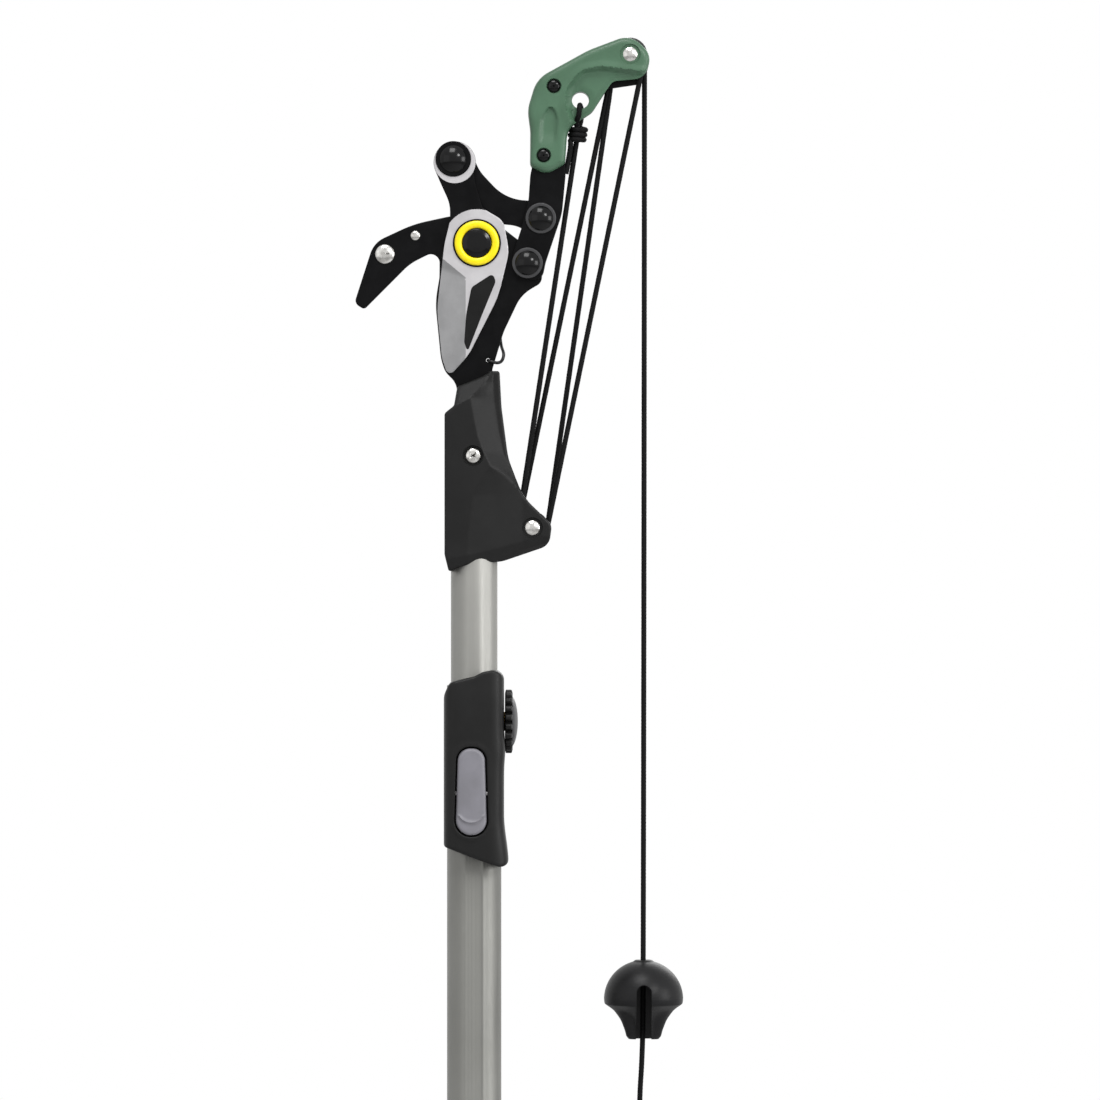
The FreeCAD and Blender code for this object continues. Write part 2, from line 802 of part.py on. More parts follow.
def make_pivot_ring():
    y1 = -washer_face - pivot_washer_t
    body = ring(M, pivot_ring_r, pivot_ring_hole, y1 - pivot_ring_t, y1)
    front_edges = [edge for edge in body.Edges if edge.BoundBox.YMax < y1 - pivot_ring_t / 2]
    return body.makeFillet(0.5, front_edges)


def make_pivot_bolt():
    y1 = -washer_face - pivot_washer_t
    seat = y1 - bolt_head_t
    head_disc = dome(M, bolt_head_r, bolt_dome, seat).fuse(disc(M, bolt_head_r, seat, y1))
    shank = disc(M, main_bolt_d / 2, y1, frame_half + nut_t + 0.5)
    return head_disc.fuse(shank).removeSplitter()


def make_pivot_nut():
    points = []
    for k in range(7):
        angle = math.radians(60 * k + 30)
        points.append(Vector(M[0] + nut_r * math.cos(angle), frame_half, M[1] + nut_r * math.sin(angle)))
    nut = Part.Face(Part.makePolygon(points)).extrude(Vector(0, nut_t, 0))
    return nut.cut(disc(M, main_bolt_d / 2, -FAR, FAR))


def make_lever_pin():
    front = dome(P, pin_head_r, pin_head_height, -plate_out - pin_ring_t)
    shank = disc(P, pivot_pin_d / 2, -plate_out - pin_ring_t, plate_out + layer_gap)
    rear = disc(P, pin_head_r, plate_out + layer_gap, plate_out + layer_gap + rear_head_t)
    return front.fuse([shank, rear]).removeSplitter()


def make_pin_ring(place):
    return ring(place, pin_ring_r, pivot_pin_d / 2, -plate_out - pin_ring_t, -plate_out)


def axle(place):
    """Riveted sheave axle with a shallow dome at the front and a flat head behind."""
    seat = cover_out - axle_recess
    front = dome(place, axle_head_r, axle_head, -seat)
    shank = disc(place, axle_d / 2, -seat, seat)
    rear = disc(place, axle_head_r, seat, seat + axle_head * 0.8)
    return front.fuse([shank, rear]).removeSplitter()


def make_sheave(place, y):
    """Grooved wheel for the rope."""
    half = sheave_w / 2
    groove_r = rope_r + groove_gap
    body = disc(place, sheave_r, y - half, y + half)
    groove = Part.makeTorus(rope_pitch_r, groove_r, Vector(place[0], y, place[1]), Vector(0, 1, 0))
    mouth = ring(place, sheave_r + 1, rope_pitch_r, y - groove_r, y + groove_r)
    return body.cut(groove.fuse(mouth)).cut(disc(place, axle_d / 2 + running_gap, -FAR, FAR))


# Lever and green arm

def lever_points(tail):
    """Black lever plate; the rear one has a tail for the return spring."""
    points = [
        (23.0, -8.0, 4), (28.6, 9.5, 30), (33.2, 27.0, 30), (34.4, 44.0, 20), (36.2, 52.0, 10), (36.8, 92.0, 8),
        (42.0, 105.0, 6), (49.0, 108.5, 8), (57.6, 101.0, 8), (55.0, 84.0, 10), (56.0, 66.0, 20),
        (57.2, 44.0, 30), (54.8, 19.0, 40), (44.4, -12.0, 12), (42.0, -23.4, 7), (31.0, -24.2, 9)]
    if tail:
        points += [(22.0, -20.5, 5), (13.0, -19.5, 4), (13.0, -9.5, 4)]
    return head(points)


def make_lever_plate(front):
    y0, y1 = (-plate_out, -plate_in) if front else (plate_in, plate_out)
    body = slab(lever_points(not front), y0, y1)
    body = body.cut(disc(P, pivot_pin_d / 2 + running_gap, -FAR, FAR))
    body = body.cut(disc(B, pivot_pin_d / 2, -FAR, FAR))
    if not front:
        body = body.cut(disc(spot(spring_post), spring_wire / 2 + 0.4, -FAR, FAR))
    for place in cover_screw_spots:
        body = body.cut(disc(spot(place), cover_screw_d / 2, -FAR, FAR))
    return body


def make_arm_core():
    lower = slab(head([(37.5, 50.0, 6), (37.5, 92.0, 8), (43.0, 104.0, 5), (49.0, 107.8, 8), (56.8, 101.0, 8),
                       (54.5, 84.0, 10), (54.5, 50.0, 6)]), -plate_in, plate_in)
    upper = slab(head([(45.0, 92.0, 4), (46.0, 104.5, 6), (75.0, 121.5, 40), (98.0, 132.2, 11), (109.4, 127.0, 10),
                       (109.0, 112.0, 8), (103.8, 102.4, 3), (83.5, 99.4, 3), (80.0, 108.0, 8), (62.0, 104.0, 20)]),
                 -core_t / 2, core_t / 2)
    body = lower.fuse(upper).removeSplitter()
    body = body.cut(disc(U, axle_d / 2, -FAR, FAR))
    for place in cover_screw_spots:
        body = body.cut(disc(spot(place), cover_screw_d / 2, -FAR, FAR))
    return body


def cover_points():
    """Green arm outline with the lug of the rope's eye."""
    return head([
        (34.2, 49.5, 4), (44.6, 43.8, 12), (56.8, 51.0, 4), (58.4, 73.9, 12), (74.2, 84.4, 10),
        (81.4, 95.6, 7), (87.6, 104.4, 6), (108.6, 106.2, 10), (112.4, 121.5, 11), (99.0, 134.4, 14),
        (72.0, 124.2, 60), (38.6, 105.8, 20), (32.6, 86.0, 22), (34.4, 72.0, 40)])


def cover_exit():
    """Side of the arm that stays open for the rope strands."""
    return slab(head([(57.4, 60.0, 0), (59.2, 82.0, 0), (76.5, 100.0, 0), (84.5, 113.0, 0), (99.5, 115.4, 0),
                      (99.5, 140.0, 0), (140.0, 140.0, 0), (140.0, 60.0, 0)]), -cheek_in, cheek_in)


def strand_room():
    """Space of the strands and the fall beside the arm, with a gap round each."""
    lean, cross = tackle_lean()
    radius = rope_r + strand_gap
    runs = [(rim(L, lean, 1, -sheave_y), rim(U, lean, 1, -sheave_y)),
            (rim(L, lean, -1, sheave_y), rim(U, lean, -1, sheave_y)),
            (rim(L, cross, 1, sheave_y), rim(U, cross, -1, sheave_y)),
            (Vector(U[0] + rope_pitch_r, sheave_y, L[1]), Vector(U[0] + rope_pitch_r, sheave_y, U[1]))]
    rooms = [Part.makeCylinder(radius, (end - start).Length, start, end - start) for start, end in runs]
    return rooms[0].fuse(rooms[1:])


def make_cover(front):
    sign = -1 if front else 1
    y_in = sign * plate_out
    y_out = sign * cover_out
    cheek = slab(cover_points(), min(y_in, y_out), max(y_in, y_out))
    wall = slab(cover_points(), min(0, y_in), max(0, y_in))
    wire = outline(cover_points())
    room = wire.makeOffset2D(-cover_rim)
    room.translate(Vector(0, -FAR, 0))
    hollow = Part.Face(room).extrude(Vector(0, 2 * FAR, 0))
    wall = wall.cut(hollow).cut(cover_exit())
    boss = disc(E, eye_r + eye_boss_wall, min(0, y_in), max(0, y_in))
    body = cheek.fuse([wall, boss]).removeSplitter().cut(strand_room())
    plate_room = outline(lever_points(False)).makeOffset2D(fit_gap)
    plate_room.translate(Vector(0, -plate_out, 0))
    body = body.cut(Part.Face(plate_room).extrude(Vector(0, 2 * plate_out, 0)))
    body = body.cut(disc(U, sheave_r + 1.0, -cheek_in, cheek_in))
    body = body.cut(disc(E, eye_r, -FAR, FAR))
    ex, ez = E
    scoop = disc(E, 9.5, *sorted((sign * eye_half, sign * FAR)))
    corners = [(ex - 9.5, ez, 0), (ex - 9.5, ez - 24, 0), (ex + 24, ez - 24, 0), (ex + 24, ez + 4, 0),
               (ex, ez + 4, 0)]
    sweep = slab(corners, *sorted((sign * eye_half, sign * FAR)))
    body = body.cut(scoop).cut(sweep)
    body = body.cut(disc(U, axle_d / 2, -FAR, FAR))
    body = body.cut(disc(U, axle_recess_r, *sorted((sign * (cover_out - axle_recess), sign * FAR))))
    for place in cover_screw_spots:
        screw = spot(place)
        screw_end = cover_out if front else cover_out - 2
        body = body.cut(disc(screw, cover_screw_d / 2, *sorted((0, sign * screw_end))))
        if front:
            body = body.cut(disc(screw, cover_screw_head_r + 0.3, -FAR, -cover_out + 1.4))
    return body


def make_arm_screws():
    solids = []
    for place in cover_screw_spots:
        centre = spot(place)
        seat = -cover_out + 1.4
        top = dome(centre, cover_screw_head_r, 2.2, seat)
        for angle in (0, 90):
            slot = block(-2.4, 2.4, seat - 4, seat - 0.9, -0.45, 0.45)
            slot.rotate(Vector(0, 0, 0), Vector(0, 1, 0), angle + 20)
            top = top.cut(slot.translated(Vector(centre[0], 0, centre[1])))
        solids.append(top.fuse(disc(centre, cover_screw_d / 2, seat, cover_out - 2)).removeSplitter())
    return Part.makeCompound(solids)


def make_link_pin_lever():
    front = dome(B, pin_head_r, pin_head_height, -plate_out - pin_ring_t)
    shank = disc(B, pivot_pin_d / 2, -plate_out - pin_ring_t, plate_out)
    rear = disc(B, pin_head_r, plate_out, plate_out + rear_head_t)
    return front.fuse([shank, rear]).removeSplitter()


# Blade and link

def blade_points():
    return head([
        (-17.0, 22.0, 4), (-2.5, 24.6, 24), (17.2, 14.6, 16), (20.8, -6.0, 26), (13.6, -35.0, 70),
        (-5.5, -72.5, 40), (-18.4, -86.6, 3.2), (-22.6, -74.0, 24), (-25.8, -43.0, 60), (-21.0, -1.0, 60)])


def blade_arm_points():
    return head([
        (-17.0, 10.0, 0), (-16.8, 25.0, 30), (-28.6, 50.0, 8), (-24.0, 66.0, 8), (-6.0, 66.0, 8),
        (-1.4, 46.0, 20), (3.6, 22.0, 30), (12.5, 14.5, 4), (8.0, 4.0, 0)])


def bevel_cutter():
    """Space in front of the ground face and of its run-out near the hub."""
    depth = 2.7
    left, right = main_pivot_x - 27.0, main_pivot_x - 7.2
    top = pivot_z + FAR
    low = pivot_z - 2 * FAR
    face = -blade_face
    grind = Part.Face(Part.makePolygon([
        Vector(left, face - 5, low), Vector(right, face - 5, low), Vector(right, face, low),
        Vector(left, face + depth, low), Vector(left, face - 5, low)])).extrude(Vector(0, 0, top - low))
    start = Vector(main_pivot_x - 21.7, face, pivot_z - 10.2)
    end = Vector(main_pivot_x - 6.4, face, pivot_z - 22.8)
    along = (end - start).normalize()
    down = Vector(along.z, 0, -along.x)
    if down.z > 0:
        down = down * -1
    run = 7.0
    near = start - along * 40
    far = start + along * 80
    corners = [near, near + down * run + Vector(0, depth, 0), near + down * 120 + Vector(0, depth, 0),
               near + down * 120 + Vector(0, -8, 0), near + Vector(0, -8, 0), near]
    runout = Part.Face(Part.makePolygon(corners)).extrude(far - near)
    return grind.common(runout)


def make_blade():
    body = slab(blade_points(), -blade_face, -plate_in)
    arm = slab(blade_arm_points(), -blade_face, -plate_in)
    eye_centre = (A[0] + blade_eye_offset[0], A[1] + blade_eye_offset[1])
    eye_disc = disc(eye_centre, blade_eye_r, -blade_face, -plate_in)
    body = body.fuse([arm, eye_disc]).removeSplitter()
    body = body.cut(disc(M, main_bolt_d / 2 + running_gap, -FAR, FAR))
    body = body.cut(disc(A, pivot_pin_d / 2, -FAR, FAR))
    body = body.cut(bevel_cutter())
    return body.cut(slab(inlay_points(), -blade_face, -blade_face + 0.6))


def inlay_points():
    return head([
        (10.4, -19.4, 2.5), (12.2, -24.8, 4), (3.1, -47.0, 60), (-6.0, -70.4, 1.0), (-8.2, -64.0, 5),
        (-7.0, -46.0, 40), (-3.6, -28.4, 5)])


def make_blade_inlay():
    return slab(inlay_points(), -blade_face - 0.2, -blade_face + 0.6)


def make_link_pin_blade():
    face = -blade_face - pin_ring_t
    front = dome(A, blade_pin_r, blade_pin_height, face)
    shank = disc(A, pivot_pin_d / 2, face, plate_in)
    rear = disc(A, blade_pin_rear_r, plate_in, plate_in + rear_head_t)
    return front.fuse([shank, rear]).removeSplitter()


def make_link_pin_blade_washer():
    return ring(A, blade_washer_r, pivot_pin_d / 2, -blade_face - pin_ring_t, -blade_face)


def make_link_bar():
    corners = head([
        (-15.2, 65.6, 8), (-2.6, 62.5, 9), (2.2, 46.0, 24), (18.5, 28.6, 36), (42.0, 27.0, 8), (51.6, 20.0, 8),
        (48.5, 7.0, 8), (35.0, 6.6, 8), (25.0, 11.6, 20), (13.5, 12.6, 18), (-6.0, 33.5, 30), (-25.6, 43.0, 8),
        (-27.0, 60.0, 9)])
    body = slab(corners, -frame_half, frame_half)
    body = body.cut(disc(B, pivot_pin_d / 2 + running_gap, -FAR, FAR))
    return body.cut(disc(A, pivot_pin_d / 2 + open_pivot_gap, -FAR, FAR))


# Return spring

def make_return_spring():
    wire_r = spring_wire / 2
    coil_r = (spring_od - spring_wire) / 2
    y = frame_half + 0.6 + spring_od / 2
    px, pz = spot(spring_post)
    hx, hz = spot(spring_hole)
    coil_top = pz - 7.0
    x_axis = px - 5.5
    start_x = x_axis + coil_r
    lead = [Vector(px, plate_in + 0.5, pz), Vector(px, y, pz), Vector(start_x, y, pz - 3.0)]
    rise = spring_pitch / (2 * math.pi)
    coil = []
    for k in range(4 * spring_turns + 1):
        angle = math.pi / 2 * k
        across = coil_r * math.cos(angle)
        deep = coil_r * math.sin(angle)
        coil.append((Vector(x_axis + across, y + deep, coil_top - rise * angle),
                     Vector(-deep, across, -rise).normalize()))
    coil_low = coil[-1][0].z
    front = -frame_half - wire_r - 0.3
    tail = [Vector(start_x - 2.0, y, coil_low - 4.0), Vector(hx + 8.2, y - 1.5, hz + 9.8),
            Vector(hx + 10.6, front, hz + 3.6), Vector(hx + 8.2, front, hz - 2.2), Vector(hx, front, hz),
            Vector(hx, frame_half - 0.6, hz)]
    first = coil[0]
    last = coil[-1]
    edges = rounded_edges(lead, [0, 2.0, 0], False)
    lead_heading = (lead[-1] - lead[-2]).normalize()
    edges += biarc(lead[-1], lead_heading, first[0], first[1])
    for (p0, t0), (p1, t1) in zip(coil, coil[1:]):
        edges += biarc(p0, t0, p1, t1)
    tail_heading = (tail[1] - tail[0]).normalize()
    edges += biarc(last[0], last[1], tail[0], tail_heading)
    edges += rounded_edges(tail, [0, 3.0, 2.6, 2.2, 1.6, 0], False)
    solid = pushed(edges, lead[0], lead[1] - lead[0], wire_r)
    print("return spring gap between turns", round(spring_pitch - spring_wire, 2))
    return solid


# Rope

def unit(angle_deg):
    """Direction (x, z) that leans clockwise from straight up."""
    angle = math.radians(angle_deg)
    return (math.sin(angle), math.cos(angle))


def tackle_lean():
    """Lean of the line between the axles, and of the crossing strand."""
    dx = U[0] - L[0]
    dz = U[1] - L[1]
    lean = math.degrees(math.atan2(dx, dz))
    cross = math.degrees(math.asin(2 * rope_pitch_r / math.hypot(dx, dz)))
    return lean, lean - cross


def rim(centre, lean, side, y):
    """Point where a strand of that lean leaves a sheave; side +1 is right, -1 left."""
    dx, dz = unit(lean)
    return Vector(centre[0] + side * rope_pitch_r * dz, y, centre[1] - side * rope_pitch_r * dx)


def knot_place():
    return Vector(E[0] + knot_offset[0], 0, E[1] + knot_offset[1])


def dead_end_lean():
    knot = knot_place()
    dx = knot.x - L[0]
    dz = knot.z - L[1]
    return math.degrees(math.atan2(dx, dz) + math.asin(rope_pitch_r / math.hypot(dx, dz)))


def make_rope_dead_end():
    start = rim(L, dead_end_lean(), -1, -sheave_y)
    knot = knot_place()
    heading = (knot - start).normalize()
    return strand(start, knot - heading * knot_half_height, rope_r)


def make_rope_strands():
    lean, cross = tackle_lean()
    return Part.makeCompound([
        strand(rim(L, lean, 1, -sheave_y), rim(U, lean, 1, -sheave_y), rope_r),
        strand(rim(L, lean, -1, sheave_y), rim(U, lean, -1, -sheave_y), rope_r),
        strand(rim(L, cross, 1, sheave_y), rim(U, cross, -1, sheave_y), rope_r)])


def make_rope_lower_turns():
    lean, cross = tackle_lean()
    dead = dead_end_lean()
    return Part.makeCompound([
        turn_about(L, 180 - dead, 360 - lean, -sheave_y, rope_r, rope_pitch_r),
        turn_about(L, 180 - lean, 360 - cross, sheave_y, rope_r, rope_pitch_r)])


def make_rope_upper_turns():
    lean, cross = tackle_lean()
    return Part.makeCompound([
        turn_about(U, -lean, 180 - lean, -sheave_y, rope_r, rope_pitch_r),
        turn_about(U, last_turn_angle + 0.4, 180 - cross, sheave_y, rope_r, rope_pitch_r)])


def make_rope_last_turn():
    return turn_about(U, 0.3, last_turn_angle, sheave_y, rope_r, rope_pitch_r)


def make_rope_knot():
    """Loop through the eye, closed by a round knot, with its tail in front of the taut strand."""
    knot = knot_place()
    down = Vector(knot.x - E[0], 0, knot.z - E[1]).normalize()
    side = Vector(0, eye_half + rope_r + 0.35, 0)
    hole = Vector(E[0], 0, E[1]) + down * (eye_r - rope_r - 0.9)
    low = knot - down * 1.5
    bend = hole + down * 14.8
    apart = Vector(0, 1.2, 0)
    points = [low - apart, bend - side, hole - side, hole + side, bend + side, low + apart]
    edges = rounded_edges(points, [0, 3.0, 2.4, 2.4, 3.0, 0], False)
    loop = pushed(edges, points[0], points[1] - points[0], rope_r)
    half = knot_half_height
    top = knot - down * half
    bottom = knot + down * half
    wide = Vector(knot_r, 0, 0)
    profile = [top, top + Vector(2.2, 0, 0), knot - down * 2.2 + wide, knot + down * 1.6 + wide,
               bottom + Vector(2.4, 0, 0), bottom]
    lump = turned(profile, knot, down)
    start = knot + Vector(-0.6, -3.9, -1.0)
    tail = Part.makeCylinder(rope_r, 24.5, start, Vector(-4.3, -1.4, -24.0))
    return loop.fuse(lump).fuse(tail).removeSplitter()


def fall_points():
    """Rope from the last sheave down through the ball to the hank."""
    top = Vector(U[0] + rope_pitch_r, sheave_y, U[1])
    end_x = ball_x - 2.6
    return [
        top,
        Vector(ball_x, sheave_y, tube_top - 200.0),
        Vector(ball_x - 1.0, sheave_y, tube_top - 240.0),
        Vector(end_x, sheave_y, tube_top - 262.0),
        Vector(end_x, sheave_y, tube_top - hank_top_drop - 6.0)]


def make_rope_fall():
    points = fall_points()
    points[0] = points[0] - Vector(0, 0, joint_gap)
    return cord_along(points, rope_r, "rope fall")


def hank_places():
    """Places and headings of the hank: inwards in one layer, outwards in the next."""
    out_r = hank_inner_r + (hank_loops - 1) * hank_step
    start = fall_points()[-1]
    centre_x = start.x - out_r
    top_z = start.z - 12.0
    low_z = top_z - hank_run
    down = Vector(0, 0, -1)
    up = Vector(0, 0, 1)
    places = [(start, down)]

    def run_down(x, y0, y1):
        inward = hank_waist if x < 0 else -hank_waist
        places.append((Vector(centre_x + x, y0, top_z), down))
        places.append((Vector(centre_x + x + inward, y0, top_z - hank_bend), down))
        places.append((Vector(centre_x + x + inward, y1, low_z + hank_bend), down))
        places.append((Vector(centre_x + x, y1, low_z), down))

    def run_up(x, y0, y1):
        inward = hank_waist if x < 0 else -hank_waist
        places.append((Vector(centre_x + x, y0, low_z), up))
        places.append((Vector(centre_x + x + inward, y0, low_z + hank_bend), up))
        places.append((Vector(centre_x + x + inward, y1, top_z - hank_bend), up))
        places.append((Vector(centre_x + x, y1, top_z), up))

    front = start.y
    back = front + hank_layer
    for k in range(hank_loops):
        half = out_r - k * hank_step
        run_down(half, front, front)
        run_up(-half, front, back if k == hank_loops - 1 else front)
    for k in range(hank_loops):
        half = hank_inner_r + k * hank_step
        run_down(half, back, back)
        if k < hank_loops - 1:
            run_up(-(half + hank_step), back, back)
    places.append((Vector(centre_x + out_r, back, low_z - hank_tail), down))
    return places, centre_x, top_z, low_z, out_r


def make_rope_hank():
    places = hank_places()[0]
    edges = []
    samples = []
    for (p0, t0), (p1, t1) in zip(places, places[1:]):
        if p0.distanceToPoint(p1) < 1e-6:
            continue
        for edge in biarc(p0, t0, p1, t1):
            edges.append(edge)
            samples.extend(edge.discretize(Distance=1.0)[:-1])
    length = sum(edge.Length for edge in edges)
    print("hank length", round(length, 1), "least gap to itself", round(least_gap(samples, rope_d), 2))
    return pushed(edges, places[0][0], places[0][1], rope_r)


def least_gap(samples, diameter):
    """Least gap between stretches of a cord that aren't neighbours along it."""
    skip = int(4 * diameter)
    least = 1e9
    for i in range(len(samples)):
        for j in range(i + skip, len(samples)):
            least = min(least, samples[i].distanceToPoint(samples[j]))
    return least - diameter


def make_hank_tie():
    places, centre_x, top_z, low_z, out_r = hank_places()
    half = out_r - hank_waist + rope_r + tie_gap
    front = places[0][0].y - rope_r - tie_gap
    back = places[0][0].y + hank_layer + rope_r + tie_gap
    z0 = (top_z + low_z) / 2 - tie_height / 2
    wall = tie_wall
    z1 = z0 + tie_height
    reach = half + wall
    outer = block(centre_x - reach, centre_x + reach, front - wall, back + wall, z0, z1)
    inner = block(centre_x - half, centre_x + half, front, back, z0, z1)
    return round_posts(outer, rope_r + tie_gap + wall).cut(round_posts(inner, rope_r + tie_gap))


def round_posts(body, radius):
    """Round the upright edges of a block."""
    height = body.BoundBox.ZLength
    return body.makeFillet(radius, [edge for edge in body.Edges if edge.BoundBox.ZLength > height - 0.1])


def make_rope_end_knot():
    end = hank_places()[0][-1][0]
    centre = end - Vector(0, 0, end_knot_r - 0.6)
    lump = Part.makeSphere(end_knot_r, centre)
    return lump.cut(column(2 * end_knot_r, end.z, end.z + end_knot_r, end.x, end.y))


def make_ball_handle():
    top = tube_top - ball_top_drop
    low = top - ball_height
    wide_z = low + ball_widest
    points = [Vector(ball_x, 0, top), Vector(ball_x + 6.5, 0, top)]
    steps = 7
    for k in range(1, steps + 1):
        angle = math.radians(82 - 80 * k / steps)
        points.append(Vector(ball_x + ball_r * math.cos(angle), 0, wide_z + (top - wide_z) * math.sin(angle)))
    for dx, dz in ((25.0, 23.4), (20.4, 19.0), (16.0, 13.0), (13.0, 6.5), (11.4, 2.4), (9.0, 0.0)):
        points.append(Vector(ball_x + dx, 0, low + dz))
    points.append(Vector(ball_x, 0, low))
    body = turned(points, Vector(ball_x, 0, 0), Vector(0, 0, 1))
    for k in range(ball_flutes):
        angle = 2 * math.pi * k / ball_flutes
        centre = Vector(ball_x + ball_r * math.cos(angle), ball_r * math.sin(angle), low - 2)
        lean = Vector(math.cos(angle) * 0.34, math.sin(angle) * 0.34, 1)
        body = body.cut(Part.makeCylinder(ball_flute_r, ball_height / 2, centre, lean))
    reach = 2 * ball_r
    slot_z = top - ball_slot_drop - ball_slot_half
    slot = block(ball_x - ball_slot_half, ball_x + ball_slot_half, -reach, 0.0, low - 1, slot_z)
    slot = slot.fuse(disc((ball_x, slot_z), ball_slot_half, -reach, 0.0))
    body = body.cut(slot).translated(Vector(0, sheave_y, 0))
    bore = Part.makeCylinder(rope_r + ball_bore_gap, ball_height + 2, Vector(ball_x, sheave_y, low - 1))
    return body.cut(bore)


def save(name, shape):
    """Write one sub-part and say what it is."""
    shape.exportStep("parts/" + name + ".step")
    print(name, "solids", len(shape.Solids), "valid", shape.isValid(), "volume", round(shape.Volume, 1))


def main():
    os.makedirs("parts", exist_ok=True)
    makers = {
        "outer_tube": make_outer_tube, "end_cap": make_end_cap, "guide_collar": make_guide_collar,
        "lock_housing": make_lock_housing, "housing_screws": make_housing_screws, "knob_bush": make_knob_bush,
        "rocker_pin": lambda: rocker_pin_solid(0.0), "rocker_spring": make_rocker_spring,
        "rocker_button": make_rocker_button, "lock_pin": make_lock_pin,
        "clamp_shoe": make_clamp_shoe, "clamp_knob": make_clamp_knob, "knob_cap": make_knob_cap,
        "knob_stud": make_knob_stud,
        "inner_tube": make_inner_tube, "slide_bush": make_slide_bush,
        "head_shell_front": make_head_shell_front, "head_shell_back": make_head_shell_back,
        "head_screws": make_head_screws, "frame_plate": make_frame_plate, "hook_backing": make_hook_backing,
        "hook_rivets": make_hook_rivets, "pivot_washer": make_pivot_washer, "pivot_ring": make_pivot_ring,
        "pivot_bolt": make_pivot_bolt, "pivot_nut": make_pivot_nut, "lever_pin": make_lever_pin,
        "lever_pin_washer": lambda: make_pin_ring(P), "lower_axle": lambda: axle(L),
        "lower_sheave_front": lambda: make_sheave(L, -sheave_y),
        "lower_sheave_back": lambda: make_sheave(L, sheave_y),
        "upper_sheave_front": lambda: make_sheave(U, -sheave_y),
        "upper_sheave_back": lambda: make_sheave(U, sheave_y),
        "lever_plate_front": lambda: make_lever_plate(True), "lever_plate_back": lambda: make_lever_plate(False),
        "arm_core": make_arm_core, "arm_cover_front": lambda: make_cover(True),
        "arm_cover_back": lambda: make_cover(False), "arm_screws": make_arm_screws, "upper_axle": lambda: axle(U),
        "link_pin_lever": make_link_pin_lever, "link_pin_lever_washer": lambda: make_pin_ring(B),
        "blade": make_blade, "blade_inlay": make_blade_inlay, "link_pin_blade": make_link_pin_blade,
        "link_pin_blade_washer": make_link_pin_blade_washer, "link_bar": make_link_bar,
        "return_spring": make_return_spring, "rope_knot": make_rope_knot, "rope_dead_end": make_rope_dead_end,
        "rope_strands": make_rope_strands, "rope_lower_turns": make_rope_lower_turns,
        "rope_upper_turns": make_rope_upper_turns, "rope_last_turn": make_rope_last_turn,
        "rope_fall": make_rope_fall, "rope_hank": make_rope_hank, "hank_tie": make_hank_tie,
        "rope_end_knot": make_rope_end_knot, "ball_handle": make_ball_handle,
    }
    for name, maker in makers.items():
        save(name, maker())
    print("rope pitch radius", rope_pitch_r, "rope diameter", rope_d)


main()
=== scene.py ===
"""Looks of a telescopic tree pruner pole: two tubes, cutting head, tackle rope and ball grip."""

import sys
import json
import logging
import math
from dataclasses import dataclass
from enum import Enum
from typing import Callable, Optional, Sequence

import bmesh
import bpy
import numpy as np
from mathutils import Matrix, Vector
from mathutils.geometry import delaunay_2d_cdt


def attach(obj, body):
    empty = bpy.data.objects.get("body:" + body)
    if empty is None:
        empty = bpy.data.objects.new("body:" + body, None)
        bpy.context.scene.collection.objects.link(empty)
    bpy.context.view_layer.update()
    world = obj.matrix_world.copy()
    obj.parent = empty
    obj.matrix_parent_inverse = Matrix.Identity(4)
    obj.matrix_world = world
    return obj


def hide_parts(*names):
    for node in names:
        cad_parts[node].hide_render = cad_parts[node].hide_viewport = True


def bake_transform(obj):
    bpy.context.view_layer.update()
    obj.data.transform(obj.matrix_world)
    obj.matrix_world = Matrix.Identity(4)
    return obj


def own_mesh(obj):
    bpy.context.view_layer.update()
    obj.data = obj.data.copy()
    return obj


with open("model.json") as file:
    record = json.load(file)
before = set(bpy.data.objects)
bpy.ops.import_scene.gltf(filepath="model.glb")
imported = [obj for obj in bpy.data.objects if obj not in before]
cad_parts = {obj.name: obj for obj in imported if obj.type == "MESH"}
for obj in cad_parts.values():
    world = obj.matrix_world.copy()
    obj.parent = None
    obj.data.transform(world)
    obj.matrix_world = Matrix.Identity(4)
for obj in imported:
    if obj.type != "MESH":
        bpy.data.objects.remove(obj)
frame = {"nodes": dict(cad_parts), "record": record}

log = logging.getLogger("pruner")
MM = 0.001
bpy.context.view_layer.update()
Corner = tuple[float, float, float]
Point = tuple[float, float]
Shape = tuple[list[Corner], list[tuple[int, ...]]]

# Places of the CAD's pivots and axles in the XZ plane, in millimetres
MAIN = (1.8, 1588.0)
LEVER_PIN = (34.4, 1575.2)
LINK_PIN = (43.0, 1604.0)
BLADE_PIN = (-13.4, 1642.2)
UPPER = (100.5, 1709.4)
LOWER = (37.6, 1404.6)
EYE = (68.5, 1680.0)
TUBE_TOP = 1300.0
ROPE_R = 1.75
PITCH_R = 9.4
SHEAVE_Y = 3.5
BALL_X = 109.3
BUTTON = (-1.5, TUBE_TOP - 65.8)
SPRING_POST = (MAIN[0] + 18.0, MAIN[1] - 14.0)
SPRING_EYE = (MAIN[0] + 7.1, MAIN[1] - 75.3)
HANK_LAYER = 4.1
TIE_GAP = 0.3


def linear(code: str) -> tuple[float, float, float, float]:
    """Linear RGBA of an sRGB hex colour.

    Args:
        code: colour such as "#2d2d2d".

    Returns:
        The colour as Blender's sockets take it.
    """
    parts = [int(code[i:i + 2], 16) / 255 for i in (1, 3, 5)]
    red, green, blue = (p / 12.92 if p <= 0.04045 else ((p + 0.055) / 1.055) ** 2.4 for p in parts)
    return (red, green, blue, 1.0)


